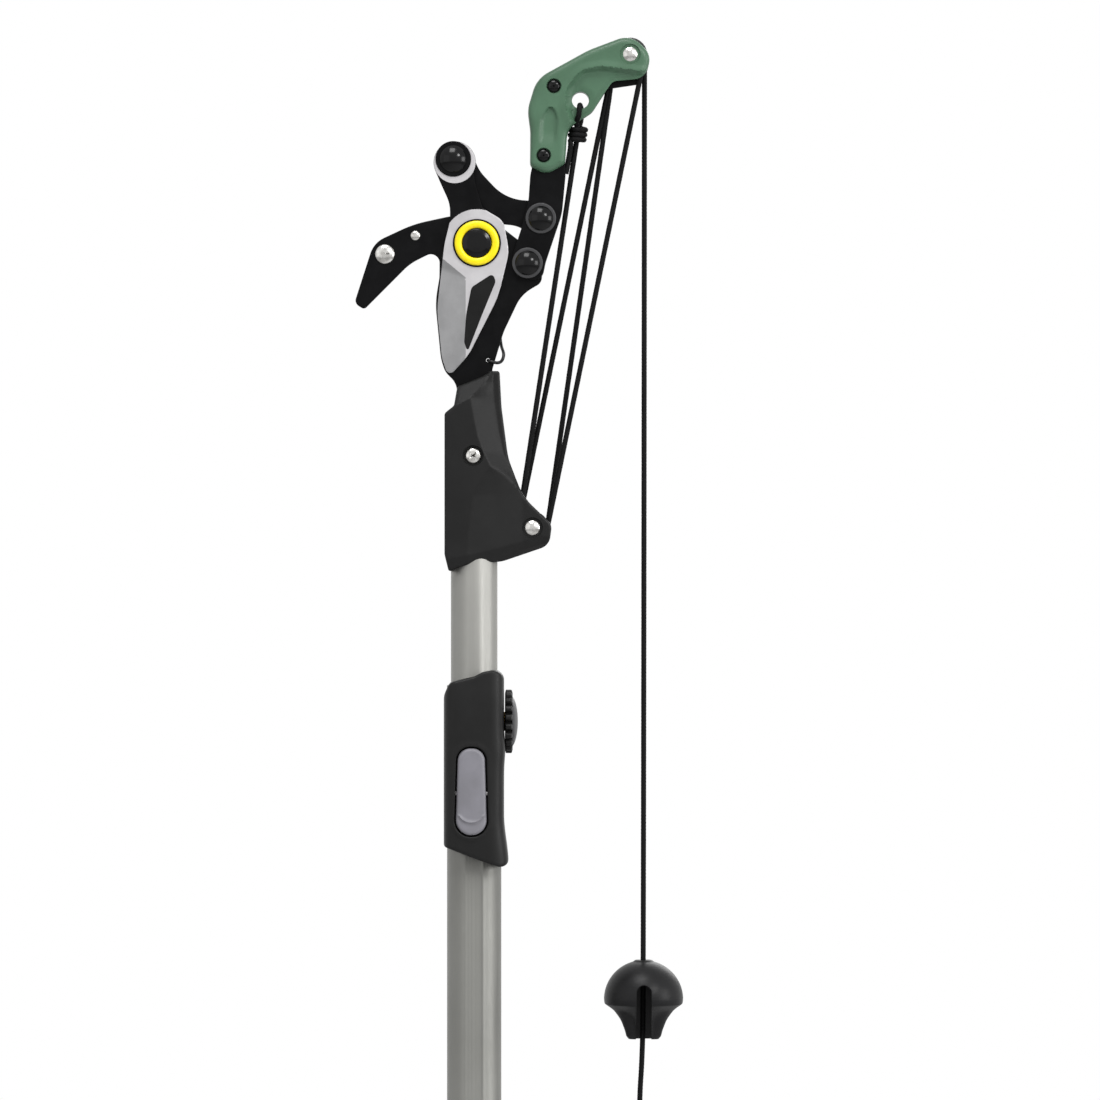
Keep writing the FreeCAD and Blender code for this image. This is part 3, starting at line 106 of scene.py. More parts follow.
def add(tree: bpy.types.NodeTree, kind: str, values: Optional[dict] = None, **settings: object) -> bpy.types.Node:
    """Adds a node to a tree.

    Args:
        tree: the shader or geometry tree.
        kind: the node's type name.
        values: input name or number to a value, or to the output socket that feeds it.
        **settings: the node's own properties.

    Returns:
        The new node.
    """
    made = tree.nodes.new(kind)
    for key, value in settings.items():
        setattr(made, key, value)
    for key, value in (values or {}).items():
        if isinstance(value, bpy.types.NodeSocket):
            tree.links.new(value, made.inputs[key])
        else:
            made.inputs[key].default_value = value
    return made


class Surface(Enum):
    """How a surface was made, which sets its pattern."""

    MOULDED = "moulded"
    DRAWN = "drawn"
    GROUND = "ground"
    COATED = "coated"
    CAST = "cast"
    BRAIDED = "braided"


@dataclass(frozen=True)
class Finish:
    """One material, from its common name and the way its surface was made."""

    name: str
    slot: str
    colour: str
    shade: str
    surface: Surface
    roughness: float
    metallic: float = 0.0
    grain: float = 0.5
    relief: float = 0.02
    patch: float = 18.0
    coat: float = 0.0
    specular: float = 0.5
    key: str = ""

    def __post_init__(self) -> None:
        """The key is the slot's name unless one slot holds several finishes."""
        if not self.key:
            object.__setattr__(self, "key", self.slot)

    def build(self) -> bpy.types.Material:
        """Builds the material.

        Returns:
            A node material with colour patches, grain and relief at real sizes.
        """
        material = bpy.data.materials.new(self.name)
        material.use_nodes = True
        tree = material.node_tree
        shader = tree.nodes["Principled BSDF"]
        shader.inputs["Metallic"].default_value = self.metallic
        shader.inputs["Specular IOR Level"].default_value = self.specular
        shader.inputs["Coat Weight"].default_value = self.coat
        shader.inputs["Coat Roughness"].default_value = 0.12
        place = add(tree, "ShaderNodeTexCoord").outputs["Object"]
        stretch = {Surface.DRAWN: (1.0, 1.0, 0.03), Surface.GROUND: (1.0, 1.0, 0.06)}.get(self.surface, (1.0, 1.0, 1.0))
        run = add(tree, "ShaderNodeMapping", {"Vector": place, "Scale": stretch}).outputs[0]
        if self.surface is Surface.BRAIDED:
            mix_by = add(tree, "ShaderNodeAttribute", attribute_name="braid").outputs["Fac"]
            grain = mix_by
        else:
            patch = add(tree, "ShaderNodeTexNoise", {"Vector": place, "Scale": 1 / (self.patch * MM), "Detail": 4.0,
                                                     "Roughness": 0.55})
            mix_by = add(tree, "ShaderNodeMapRange", {"Value": patch.outputs["Fac"], "From Min": 0.35,
                                                      "From Max": 0.68}).outputs[0]
            grain = add(tree, "ShaderNodeTexNoise", {"Vector": run, "Scale": 1 / (self.grain * MM), "Detail": 3.0,
                                                     "Roughness": 0.6}).outputs["Fac"]
        mixed = add(tree, "ShaderNodeMix", {"Factor": mix_by, "A": linear(self.colour), "B": linear(self.shade)},
                    data_type="RGBA")
        tree.links.new(mixed.outputs[2], shader.inputs["Base Color"])
        rough = add(tree, "ShaderNodeMapRange", {"Value": grain, "From Min": 0.3, "From Max": 0.7,
                                                 "To Min": max(0.05, self.roughness - 0.07),
                                                 "To Max": self.roughness + 0.07})
        tree.links.new(rough.outputs[0], shader.inputs["Roughness"])
        bump = add(tree, "ShaderNodeBump", {"Height": grain, "Strength": 1.0, "Distance": self.relief * MM})
        tree.links.new(bump.outputs["Normal"], shader.inputs["Normal"])
        return material


FINISHES: dict[str, Finish] = {f.key: f for f in (
    # Clear anodised aluminium: fine draw lines along the tube under a satin skin
    Finish("anodised_aluminium", "anodised_tube", "#94938f", "#8c8c88", Surface.DRAWN, 0.48, 0.6, 0.25, 0.006, 60),
    # The same tube stock in a darker tone all over
    Finish("anodised_aluminium_darker", "anodised_tube", "#82827e", "#7b7b77", Surface.DRAWN, 0.5, 0.6, 0.25, 0.006, 60,
           key="lower_tube"),
    # EPDM rubber: matt, a little grey where it is rubbed
    Finish("black_rubber", "black_rubber", "#181818", "#202020", Surface.MOULDED, 0.68, 0.0, 0.6, 0.05, 12),
    # Glass-filled nylon: fine spark-eroded grain, soft sheen
    Finish("black_nylon_moulding", "black_moulding", "#131313", "#191919", Surface.MOULDED, 0.44, 0.0, 0.45, 0.025, 22,
           specular=0.2),
    # Grey polypropylene button
    Finish("grey_polypropylene", "button_grey", "#807f86", "#77767c", Surface.MOULDED, 0.48, 0.0, 0.5, 0.02, 14),
    # Dark grey cap of the side clamp
    Finish("dark_grey_polypropylene", "button_grey", "#1e1e21", "#242427", Surface.MOULDED, 0.4, 0.0, 0.5, 0.02, 14,
           key="knob_cap"),
    # Muted green ABS cover with a light moulding grain
    Finish("green_abs", "green_moulding", "#4c6c55", "#45634d", Surface.MOULDED, 0.4, 0.0, 0.5, 0.02, 20,
           specular=0.32),
    # Black powder-coated steel plate: slight orange peel
    Finish("black_coated_steel", "black_steel", "#09090a", "#101011", Surface.COATED, 0.36, 0.0, 1.1, 0.02, 10,
           specular=0.07),
    # Matt black print in the blade's recess
    Finish("blade_black_print", "blade_black", "#0d0d0d", "#131313", Surface.COATED, 0.5, 0.0, 0.8, 0.01, 9,
           specular=0.16),
    # Ground carbon steel: fine grinding lines
    Finish("ground_steel", "bright_steel", "#c9c7c9", "#bab8ba", Surface.GROUND, 0.36, 0.85, 0.3, 0.008, 16),
    # The same steel on the ground bevel, with painted shade: darker, as if the tilted bevel caught less light; the
    # grinding lines are real
    Finish("ground_steel_bevel_painted_shade", "bright_steel", "#9a9a9b", "#8d8d8e", Surface.GROUND, 0.42, 0.85, 0.3, 0.01, 16,
           key="blade_bevel_painted_shade"),
    # Black oxide spring wire
    Finish("spring_wire", "black_steel", "#161617", "#232324", Surface.DRAWN, 0.36, 0.5, 0.4, 0.006, 5,
           key="spring_wire"),
    # Zinc-plated rivets and axles: bright, slightly mottled
    Finish("plated_steel", "polished_steel", "#d4d3d0", "#a9a7a3", Surface.CAST, 0.24, 1.0, 1.0, 0.03, 3.5),
    # Yellow acetal ring
    Finish("yellow_acetal", "ring_yellow", "#ffea00", "#fade00", Surface.MOULDED, 0.36, 0.0, 0.5, 0.008, 9),
    # Glossy black blued pin heads
    Finish("glossy_black_pin", "dome_black", "#050506", "#09090a", Surface.COATED, 0.2, 0.0, 0.9, 0.008, 7, 0.2,
           specular=0.12),
    # Their washers, matt and lighter
    Finish("dark_washer", "dome_black", "#2b2b2d", "#323234", Surface.COATED, 0.45, 0.0, 0.9, 0.012, 7,
           key="ring_dark"),
    # Machined brass bush
    Finish("machined_brass", "brass_bush", "#b08d4a", "#9c7c3e", Surface.GROUND, 0.3, 1.0, 0.3, 0.01, 8),
    # Nylon sheave
    Finish("nylon_sheave", "sheave_plastic", "#232324", "#2a2a2b", Surface.MOULDED, 0.4, 0.0, 0.5, 0.015, 10),
    # Braided polyester rope: pick pattern in black and dark grey
    Finish("braided_polyester", "rope_black", "#070707", "#1e1e1f", Surface.BRAIDED, 0.66, 0.0, 0.5, 0.12, 10,
           specular=0.08),
    # Rubber hank tie
    Finish("tie_rubber", "tie_rubber", "#2b2c2d", "#353637", Surface.MOULDED, 0.6, 0.0, 0.5, 0.03, 8),
    # Dark grey polypropylene ball
    Finish("grey_ball_moulding", "ball_grey", "#161617", "#1c1c1d", Surface.MOULDED, 0.38, 0.0, 0.6, 0.02, 20,
           specular=0.16),
)}
MATERIALS: dict[str, bpy.types.Material] = {key: finish.build() for key, finish in FINISHES.items()}


def dressed(piece: bpy.types.Object, slot: str, smooth_deg: float = 35.0) -> bpy.types.Object:
    """Welds, turns outwards, shades and paints a mesh piece, and links it to the scene."""
    work = bmesh.new()
    work.from_mesh(piece.data)
    bmesh.ops.remove_doubles(work, verts=work.verts, dist=1e-6)
    bmesh.ops.dissolve_degenerate(work, edges=work.edges, dist=1e-7)
    bmesh.ops.recalc_face_normals(work, faces=work.faces)
    for face in work.faces:
        face.smooth = True
    for edge in work.edges:
        if len(edge.link_faces) == 2:
            edge.smooth = edge.calc_face_angle(0.0) < math.radians(smooth_deg)
    work.to_mesh(piece.data)
    work.free()
    piece.data.materials.clear()
    piece.data.materials.append(MATERIALS[slot])
    if piece.name not in bpy.context.scene.collection.objects:
        bpy.context.scene.collection.objects.link(piece)
    return piece


def place_piece(piece: bpy.types.Object, body: str, slot: str, *nodes: str) -> bpy.types.Object:
    """Lets a finished piece ride on its body and stand for its CAD nodes."""
    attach(piece, body)
    if nodes:
        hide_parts(*nodes)
    log.info("piece %s on %s, %d faces", piece.name, body, len(piece.data.polygons))
    return piece


class PieceTree:
    """Geometry Nodes tree with named inputs that ends in Realize Instances and Set Material."""

    NAME = ""
    WAYS: tuple[str, ...] = ()
    SIZES: tuple[tuple[str, float], ...] = ()

    def __init__(self) -> None:
        """Builds the tree once; every piece of its kind uses it."""
        self.tree = bpy.data.node_groups.new(self.NAME, "GeometryNodeTree")
        self.sockets = {}
        for way in ("INPUT", "OUTPUT"):
            self.tree.interface.new_socket("Geometry", in_out=way, socket_type="NodeSocketGeometry")
        for name in self.WAYS:
            self.socket(name, "Vector")
        for name, value in self.SIZES:
            self.socket(name, "Float").default_value = value
        self.socket("Material", "Material")
        given = add(self.tree, "NodeGroupInput").outputs
        real = add(self.tree, "GeometryNodeRealizeInstances", {"Geometry": self.shape(self.tree, given)})
        painted = add(self.tree, "GeometryNodeSetMaterial", {"Geometry": real.outputs[0],
                                                             "Material": given["Material"]})
        add(self.tree, "NodeGroupOutput", {"Geometry": painted.outputs[0]})

    def socket(self, name: str, kind: str) -> bpy.types.NodeTreeInterfaceSocket:
        """Adds one named input and remembers its identifier."""
        made = self.tree.interface.new_socket(name, in_out="INPUT", socket_type="NodeSocket" + kind)
        self.sockets[name] = made.identifier
        return made

    def shape(self, tree: bpy.types.NodeTree, given: bpy.types.NodeOutputs) -> bpy.types.NodeSocket:
        """Nodes between the group's inputs and its last two nodes."""
        raise NotImplementedError

    def math(self, operation: str, first: object, second: object = 0.0) -> bpy.types.NodeSocket:
        """Result of one sum in the tree."""
        return add(self.tree, "ShaderNodeMath", {0: first, 1: second}, operation=operation).outputs[0]

    def apply(self, target: bpy.types.Object, slot: str, **inputs: object) -> None:
        """Puts the tree on an object.

        Args:
            target: the object that gets the modifier.
            slot: the finish of the result.
            **inputs: the tree's inputs, with spaces as underscores; a size left out keeps its default.
        """
        modifier = target.modifiers.new(self.NAME, "NODES")
        modifier.node_group = self.tree
        for name in self.WAYS:
            modifier[self.sockets[name]] = [float(part) for part in inputs[name.lower()]]
        for name, value in self.SIZES:
            modifier[self.sockets[name]] = float(inputs.get(name.replace(" ", "_").lower(), value))
        modifier[self.sockets["Material"]] = MATERIALS[slot]


class BraidedRope(PieceTree):
    """Geometry Nodes tree that turns a centreline into a braided rope."""

    NAME = "braided_rope"
    SIZES = (("Radius", ROPE_R * MM), ("Step", 0.75 * MM), ("Crossings", 3.0), ("Pick Length", 4.4 * MM),
             ("Relief", 0.16 * MM))
    SIDES = 18

    def shape(self, tree: bpy.types.NodeTree, given: bpy.types.NodeOutputs) -> bpy.types.NodeSocket:
        """Sweeps a circle along the line and lifts it where two sets of strands cross."""
        line = add(tree, "GeometryNodeResampleCurve", {"Curve": given["Geometry"], "Length": given["Step"]},
                   mode="LENGTH")
        along = add(tree, "GeometryNodeCaptureAttribute", {"Geometry": line.outputs[0]})
        along.capture_items.new("FLOAT", "Along")
        tree.links.new(add(tree, "GeometryNodeSplineParameter").outputs["Length"], along.inputs[1])
        circle = add(tree, "GeometryNodeCurvePrimitiveCircle", {"Resolution": self.SIDES, "Radius": given["Radius"]})
        around = add(tree, "GeometryNodeCaptureAttribute", {"Geometry": circle.outputs["Curve"]})
        around.capture_items.new("FLOAT", "Around")
        number = add(tree, "GeometryNodeInputIndex").outputs[0]
        tree.links.new(self.math("MULTIPLY", number, 2 * math.pi / self.SIDES), around.inputs[1])
        swept = add(tree, "GeometryNodeCurveToMesh", {"Curve": along.outputs[0], "Profile Curve": around.outputs[0],
                                                      "Fill Caps": True})
        turn = self.math("MULTIPLY", around.outputs[1], given["Crossings"])
        run = self.math("MULTIPLY", self.math("DIVIDE", along.outputs[1], given["Pick Length"]), 2 * math.pi)
        waves = [self.math("ABSOLUTE", self.math("SINE", self.math(way, turn, run))) for way in ("ADD", "SUBTRACT")]
        braid = self.math("MULTIPLY", *waves)
        kept = add(tree, "GeometryNodeStoreNamedAttribute", {"Geometry": swept.outputs[0], "Name": "braid",
                                                             "Value": braid}, data_type="FLOAT", domain="POINT")
        height = self.math("MULTIPLY", self.math("ADD", braid, -0.6), given["Relief"])
        push = add(tree, "ShaderNodeVectorMath", {0: add(tree, "GeometryNodeInputNormal").outputs[0],
                                                  "Scale": height}, operation="SCALE")
        return add(tree, "GeometryNodeSetPosition", {"Geometry": kept.outputs[0],
                                                     "Offset": push.outputs[0]}).outputs[0]

    def make(self, name: str, route: bpy.types.Object, step: float = 0.75) -> bpy.types.Object:
        """Braids a rope along a curve object.

        Args:
            name: the rope's name.
            route: the curve, which is removed afterwards.
            step: distance between rings of the mesh, in millimetres.

        Returns:
            A plain mesh object.
        """
        self.apply(route, "rope_black", step=step * MM)
        return baked(name, route, "rope_black", 80.0)


def baked(name: str, source: bpy.types.Object, slot: str, smooth_deg: float = 35.0) -> bpy.types.Object:
    """Turns an evaluated object into a plain mesh piece and removes the source."""
    bpy.context.view_layer.update()
    ready = source.evaluated_get(bpy.context.evaluated_depsgraph_get())
    mesh = bpy.data.meshes.new_from_object(ready)
    piece = bpy.data.objects.new(name, mesh)
    mesh.transform(source.matrix_world)
    bpy.data.objects.remove(source, do_unlink=True)
    return dressed(piece, slot, smooth_deg)


def curve_of(name: str, kind: str, points: Sequence[Corner], resolution: int = 12) -> bpy.types.Object:
    """Open curve of one spline.

    Args:
        name: the curve's name.
        kind: "POLY" or "NURBS".
        points: points in millimetres.
        resolution: steps between points of a smooth spline.

    Returns:
        The curve object, with no bevel.
    """
    data = bpy.data.curves.new(name, "CURVE")
    data.dimensions = "3D"
    data.resolution_u = resolution
    spline = data.splines.new(kind)
    spline.points.add(len(points) - 1)
    for place, (x, y, z) in zip(spline.points, points):
        place.co = (x * MM, y * MM, z * MM, 1.0)
    route = bpy.data.objects.new(name, data)
    bpy.context.scene.collection.objects.link(route)
    return route


def nurbs_route(name: str, points: Sequence[Corner]) -> bpy.types.Object:
    """Smooth open curve on given points in millimetres."""
    route = curve_of(name, "NURBS", points, 10)
    spline = route.data.splines[0]
    spline.order_u = 3
    spline.use_endpoint_u = True
    return route


def line_of(route: bpy.types.Object) -> list[tuple[float, float, float]]:
    """Points of a curve object's own smooth line, in metres, in order."""
    bpy.context.view_layer.update()
    mesh = bpy.data.meshes.new_from_object(route.evaluated_get(bpy.context.evaluated_depsgraph_get()))
    points = [tuple(v.co) for v in mesh.vertices]
    bpy.data.meshes.remove(mesh)
    return points


def arc_route(name: str, centre: Point, y: float, from_deg: float, to_deg: float) -> bpy.types.Object:
    """Centreline of the rope on a sheave; angles run anticlockwise from +X in the front view."""
    steps = max(3, int(abs(to_deg - from_deg) / 6))
    angles = [math.radians(from_deg + (to_deg - from_deg) * k / steps) for k in range(steps + 1)]
    return curve_of(name, "POLY", [(centre[0] + PITCH_R * math.cos(a), y, centre[1] + PITCH_R * math.sin(a))
                                   for a in angles])


def rounded(corners: Sequence[Corner], closed: bool = True, step: float = 1.2) -> list[Point]:
    """Points of a line with rounded corners.

    Args:
        corners: places and corner radii.
        closed: whether the last corner joins the first.
        step: longest distance between points.

    Returns:
        The points, without the first repeated.
    """
    count = len(corners)
    line: list[Point] = []
    for i in range(count):
        here = Vector(corners[i][:2])
        if not closed and i in (0, count - 1):
            line.append(tuple(here))
            continue
        before = Vector(corners[i - 1][:2]) - here
        after = Vector(corners[(i + 1) % count][:2]) - here
        turn = math.pi - before.angle(after)
        if corners[i][2] <= 0 or turn < 1e-3:
            line.append(tuple(here))
            continue
        reach = min(corners[i][2] * math.tan(turn / 2), 0.499 * min(before.length, after.length))
        radius = reach / math.tan(turn / 2)
        way = (before.normalized() + after.normalized()).normalized()
        centre = here + way * (radius / math.cos(turn / 2))
        start = here + before.normalized() * reach
        end = here + after.normalized() * reach
        steps = max(2, int(radius * turn / step) + 1, int(math.degrees(turn) / 9))
        a, b = start - centre, end - centre
        sweep = a.angle_signed(b)
        for k in range(steps + 1):
            line.append(tuple(centre + Matrix.Rotation(-sweep * k / steps, 2) @ a))
    dense: list[Point] = []
    pairs = list(zip(line, line[1:] + line[:1])) if closed else list(zip(line, line[1:]))
    for a, b in pairs:
        gap = math.dist(a, b)
        if gap < 1e-6:
            continue
        steps = max(1, math.ceil(gap / step))
        dense += [(a[0] + (b[0] - a[0]) * k / steps, a[1] + (b[1] - a[1]) * k / steps) for k in range(steps)]
    if not closed:
        dense.append(line[-1])
    return dense


def from_main(corners: Sequence[Corner]) -> list[Corner]:
    """Corners given from the main pivot, as places of the whole object."""
    return [(MAIN[0] + x, MAIN[1] + z, r) for x, z, r in corners]


def distance_to(points: np.ndarray, line: Sequence[Point], closed: bool = True) -> np.ndarray:
    """Least distance of each point to a line of points."""
    a = np.array(line, float)
    b = np.roll(a, -1, axis=0)
    if not closed:
        a, b = a[:-1], b[:-1]
    run = b - a
    t = np.einsum("psk,sk->ps", points[:, None, :] - a[None], run) / np.maximum((run ** 2).sum(1), 1e-12)
    near = a[None] + np.clip(t, 0, 1)[..., None] * run[None]
    return np.sqrt(((points[:, None, :] - near) ** 2).sum(2)).min(1)


def soft(value: np.ndarray, low: float, high: float) -> np.ndarray:
    """Smooth step from 0 at low to 1 at high."""
    t = np.clip((value - low) / (high - low), 0, 1)
    return t * t * (3 - 2 * t)


def hole_line(centre: Point, radius: float, steps: int = 40) -> list[Point]:
    """Round hole as a line of points."""
    angles = [2 * math.pi * k / steps for k in range(steps)]
    return [(centre[0] + radius * math.cos(a), centre[1] + radius * math.sin(a)) for a in angles]


def gap_to(flat: np.ndarray, spot: Point) -> np.ndarray:
    """Distance of each point to one spot."""
    return np.hypot(flat[:, 0] - spot[0], flat[:, 1] - spot[1])


def unpacked(work: bmesh.types.BMesh) -> Shape:
    """Corners in millimetres and faces of a working mesh, which is freed."""
    work.verts.index_update()
    verts = [tuple(c / MM for c in v.co) for v in work.verts]
    faces = [tuple(v.index for v in f.verts) for f in work.faces]
    work.free()
    return verts, faces


@dataclass
class Relief:
    """Moulded or ground skin: an outline whose face follows a height rule, with rounded edges."""

    outline: list[Point]
    back: float
    height: Callable[[np.ndarray], np.ndarray]
    edge: float = 1.0
    holes: tuple[list[Point], ...] = ()
    hole_edge: float = 0.4
    grid: float = 1.5
    creases: tuple[list[Point], ...] = ()

    def shape(self, side: int) -> Shape:
        """Builds the closed skin on one side of the middle plane.

        Args:
            side: -1 for the front, 1 for the rear.

        Returns:
            Corners in millimetres and faces.
        """
        loops = [self.outline, *self.holes]
        rim = [Vector(p) for loop in loops for p in loop]
        edges: list[tuple[int, int]] = []
        start = 0
        for loop in loops:
            edges += [(start + k, start + (k + 1) % len(loop)) for k in range(len(loop))]
            start += len(loop)
        extra = self.inner_points(loops)
        result = delaunay_2d_cdt(rim + [Vector(p) for p in extra], edges, [], 2, 1e-4)
        flat = np.array([tuple(v) for v in result[0]], float)
        middles = np.array([flat[list(f)].mean(0) for f in result[2]])
        open_here = ~self.inside(middles)
        for hole in self.holes:
            open_here |= inside_loop(middles, hole)
        faces = [tuple(f) for f, gone in zip(result[2], open_here) if not gone]
        heights = self.height(flat) - self.rounding(flat, self.outline, self.edge)
        for hole in self.holes:
            heights = heights - self.rounding(flat, hole, self.hole_edge)
        count = len(flat)
        verts = [(x, side * h, z) for (x, z), h in zip(flat, heights)]
        verts += [(x, side * self.back, z) for x, z in flat]
        uses: dict[frozenset, tuple[int, int]] = {}
        for face in faces:
            for a, b in zip(face, face[1:] + face[:1]):
                key = frozenset((a, b))
                uses[key] = None if key in uses else (a, b)
        sides = [(a, b, b + count, a + count) for pair in uses.values() if pair for a, b in (pair,)]
        return verts, faces + [tuple(i + count for i in reversed(f)) for f in faces] + sides

    def rounding(self, flat: np.ndarray, loop: list[Point], radius: float) -> np.ndarray:
        """Drop of the face near an edge with that radius."""
        if radius <= 0:
            return np.zeros(len(flat))
        gap = np.clip(distance_to(flat, loop), 0, radius)
        return radius - np.sqrt(np.maximum(radius ** 2 - (radius - gap) ** 2, 0))

    def inner_points(self, loops: list[list[Point]]) -> list[Point]:
        """Grid and near-edge points inside the outline."""
        line = np.array(self.outline, float)
        low, high = line.min(0), line.max(0)
        xs = np.arange(low[0], high[0], self.grid)
        zs = np.arange(low[1], high[1], self.grid * 0.87)
        grid = np.array([(x + (j % 2) * self.grid / 2, z) for j, z in enumerate(zs) for x in xs])
        rings = []
        for loop, radius in [(self.outline, self.edge)] + [(h, self.hole_edge) for h in self.holes]:
            points = np.array(loop, float)
            run = np.roll(points, -1, axis=0) - np.roll(points, 1, axis=0)
            run /= np.maximum(np.linalg.norm(run, axis=1, keepdims=True), 1e-9)
            normal = np.stack([-run[:, 1], run[:, 0]], axis=1)
            for share in (0.12, 0.3, 0.55, 1.0):
                for way in (1, -1):
                    rings.append((points + normal * way * share * radius, share * radius * 0.93))
        keep = []
        for points, least in [(grid, max(self.edge, 0.6) * 1.15)] + rings:
            mask = self.inside(points)
            for loop in loops:
                mask &= distance_to(points, loop) >= least
            keep.append(points[mask])
        for crease in self.creases:
            points = np.array(crease, float)
            keep.append(points[self.inside(points) & (distance_to(points, self.outline) > 0.5)])
        return [tuple(p) for p in np.concatenate(keep)]

    def inside(self, points: np.ndarray) -> np.ndarray:
        """Which points lie inside the outline."""
        return inside_loop(points, self.outline)


def inside_loop(points: np.ndarray, loop: Sequence[Point]) -> np.ndarray:
    """Which points lie inside a closed line."""
    a = np.array(loop, float)
    b = np.roll(a, -1, axis=0)
    x, z = points[:, 0][:, None], points[:, 1][:, None]
    cross = (a[:, 1] > z) != (b[:, 1] > z)
    at = (b[:, 0] - a[:, 0]) * (z - a[:, 1]) / np.where(b[:, 1] == a[:, 1], 1e-9, b[:, 1] - a[:, 1]) + a[:, 0]
    return (cross & (x < at)).sum(1) % 2 == 1


def flat_height(level: float) -> Callable[[np.ndarray], np.ndarray]:
    """Height rule of a flat face."""
    return lambda flat: np.full(len(flat), level)


def inner_copy(node: str, limit: float, side: int) -> Shape:
    """Part of a CAD node between the middle plane and a limit, for what a skin leaves open.

    Args:
        node: the CAD node.
        limit: distance from the middle plane, in millimetres.
        side: -1 for the front, 1 for the rear.

    Returns:
        Corners in millimetres and faces.
    """
    work = bmesh.new()
    work.from_mesh(frame["nodes"][node].data)
    bmesh.ops.remove_doubles(work, verts=work.verts, dist=2e-6)
    geometry = work.verts[:] + work.edges[:] + work.faces[:]
    bmesh.ops.bisect_plane(work, geom=geometry, plane_co=(0, side * limit * MM, 0), plane_no=(0, side, 0),
                           clear_outer=True)
    return unpacked(work)


def joined(name: str, slot: str, *shapes: Shape, smooth_deg: float = 32.0) -> bpy.types.Object:
    """One piece from several closed shapes."""
    verts: list = []
    faces: list = []
    for some_verts, some_faces in shapes:
        start = len(verts)
        verts += some_verts
        faces += [tuple(i + start for i in f) for f in some_faces]
    mesh = bpy.data.meshes.new(name)
    mesh.from_pydata([tuple(c * MM for c in v) for v in verts], [], faces)
    return dressed(bpy.data.objects.new(name, mesh), slot, smooth_deg)


def turned(profile: Sequence[Corner], centre: Corner, axis: str, segments: int = 64,
           step: float = 0.8) -> Shape:
    """Shape turned about an axis.

    Args:
        profile: corners (radius, place along the axis, rounding); an open line ends on the axis.
        centre: a point of the axis, in millimetres.
        axis: "x", "y" or "z".
        segments: steps round the axis.
        step: longest step along the profile.

    Returns:
        Corners in millimetres and faces.
    """
    closed = profile[0][0] > 1e-6
    line = rounded(profile, closed, step)
    verts, faces = [], []
    for radius, place in line:
        for k in range(segments):
            angle = 2 * math.pi * k / segments
            r = max(radius, 0.0)
            u, v = r * math.cos(angle), r * math.sin(angle)
            x, y, z = {"x": (place, u, v), "y": (u, place, v), "z": (u, v, place)}[axis]
            verts.append((centre[0] + x, centre[1] + y, centre[2] + z))
    rows = len(line)
    for i in range(rows if closed else rows - 1):
        j = (i + 1) % rows
        for k in range(segments):
            m = (k + 1) % segments
            faces.append((i * segments + k, i * segments + m, j * segments + m, j * segments + k))
    return verts, faces


def dome_profile(radius: float, height: float, base: float, skirt: float = 0.5) -> list[Corner]:
    """Domed head that bulges towards -Y from a plane, with a short rounded skirt."""
    ball = (radius ** 2 + height ** 2) / (2 * height)
    line: list[Corner] = []
    for k in range(13):
        angle = math.asin(radius / ball) * k / 12
        line.append((ball * math.sin(angle), base - height - skirt + ball * (1 - math.cos(angle)), 0.0))
    return line + [(radius, base - 0.02, 0.0), (radius * 0.9, base, 0.0), (0.0, base, 0.0)]


def wire(name: str, points: Sequence[Corner], radius: float, slot: str) -> bpy.types.Object:
    """Round wire along points in millimetres, as a closed mesh."""
    route = curve_of(name + "_line", "POLY", points)
    route.data.bevel_depth = radius * MM
    route.data.bevel_resolution = 3
    route.data.use_fill_caps = True
    return baked(name, route, slot, 60.0)


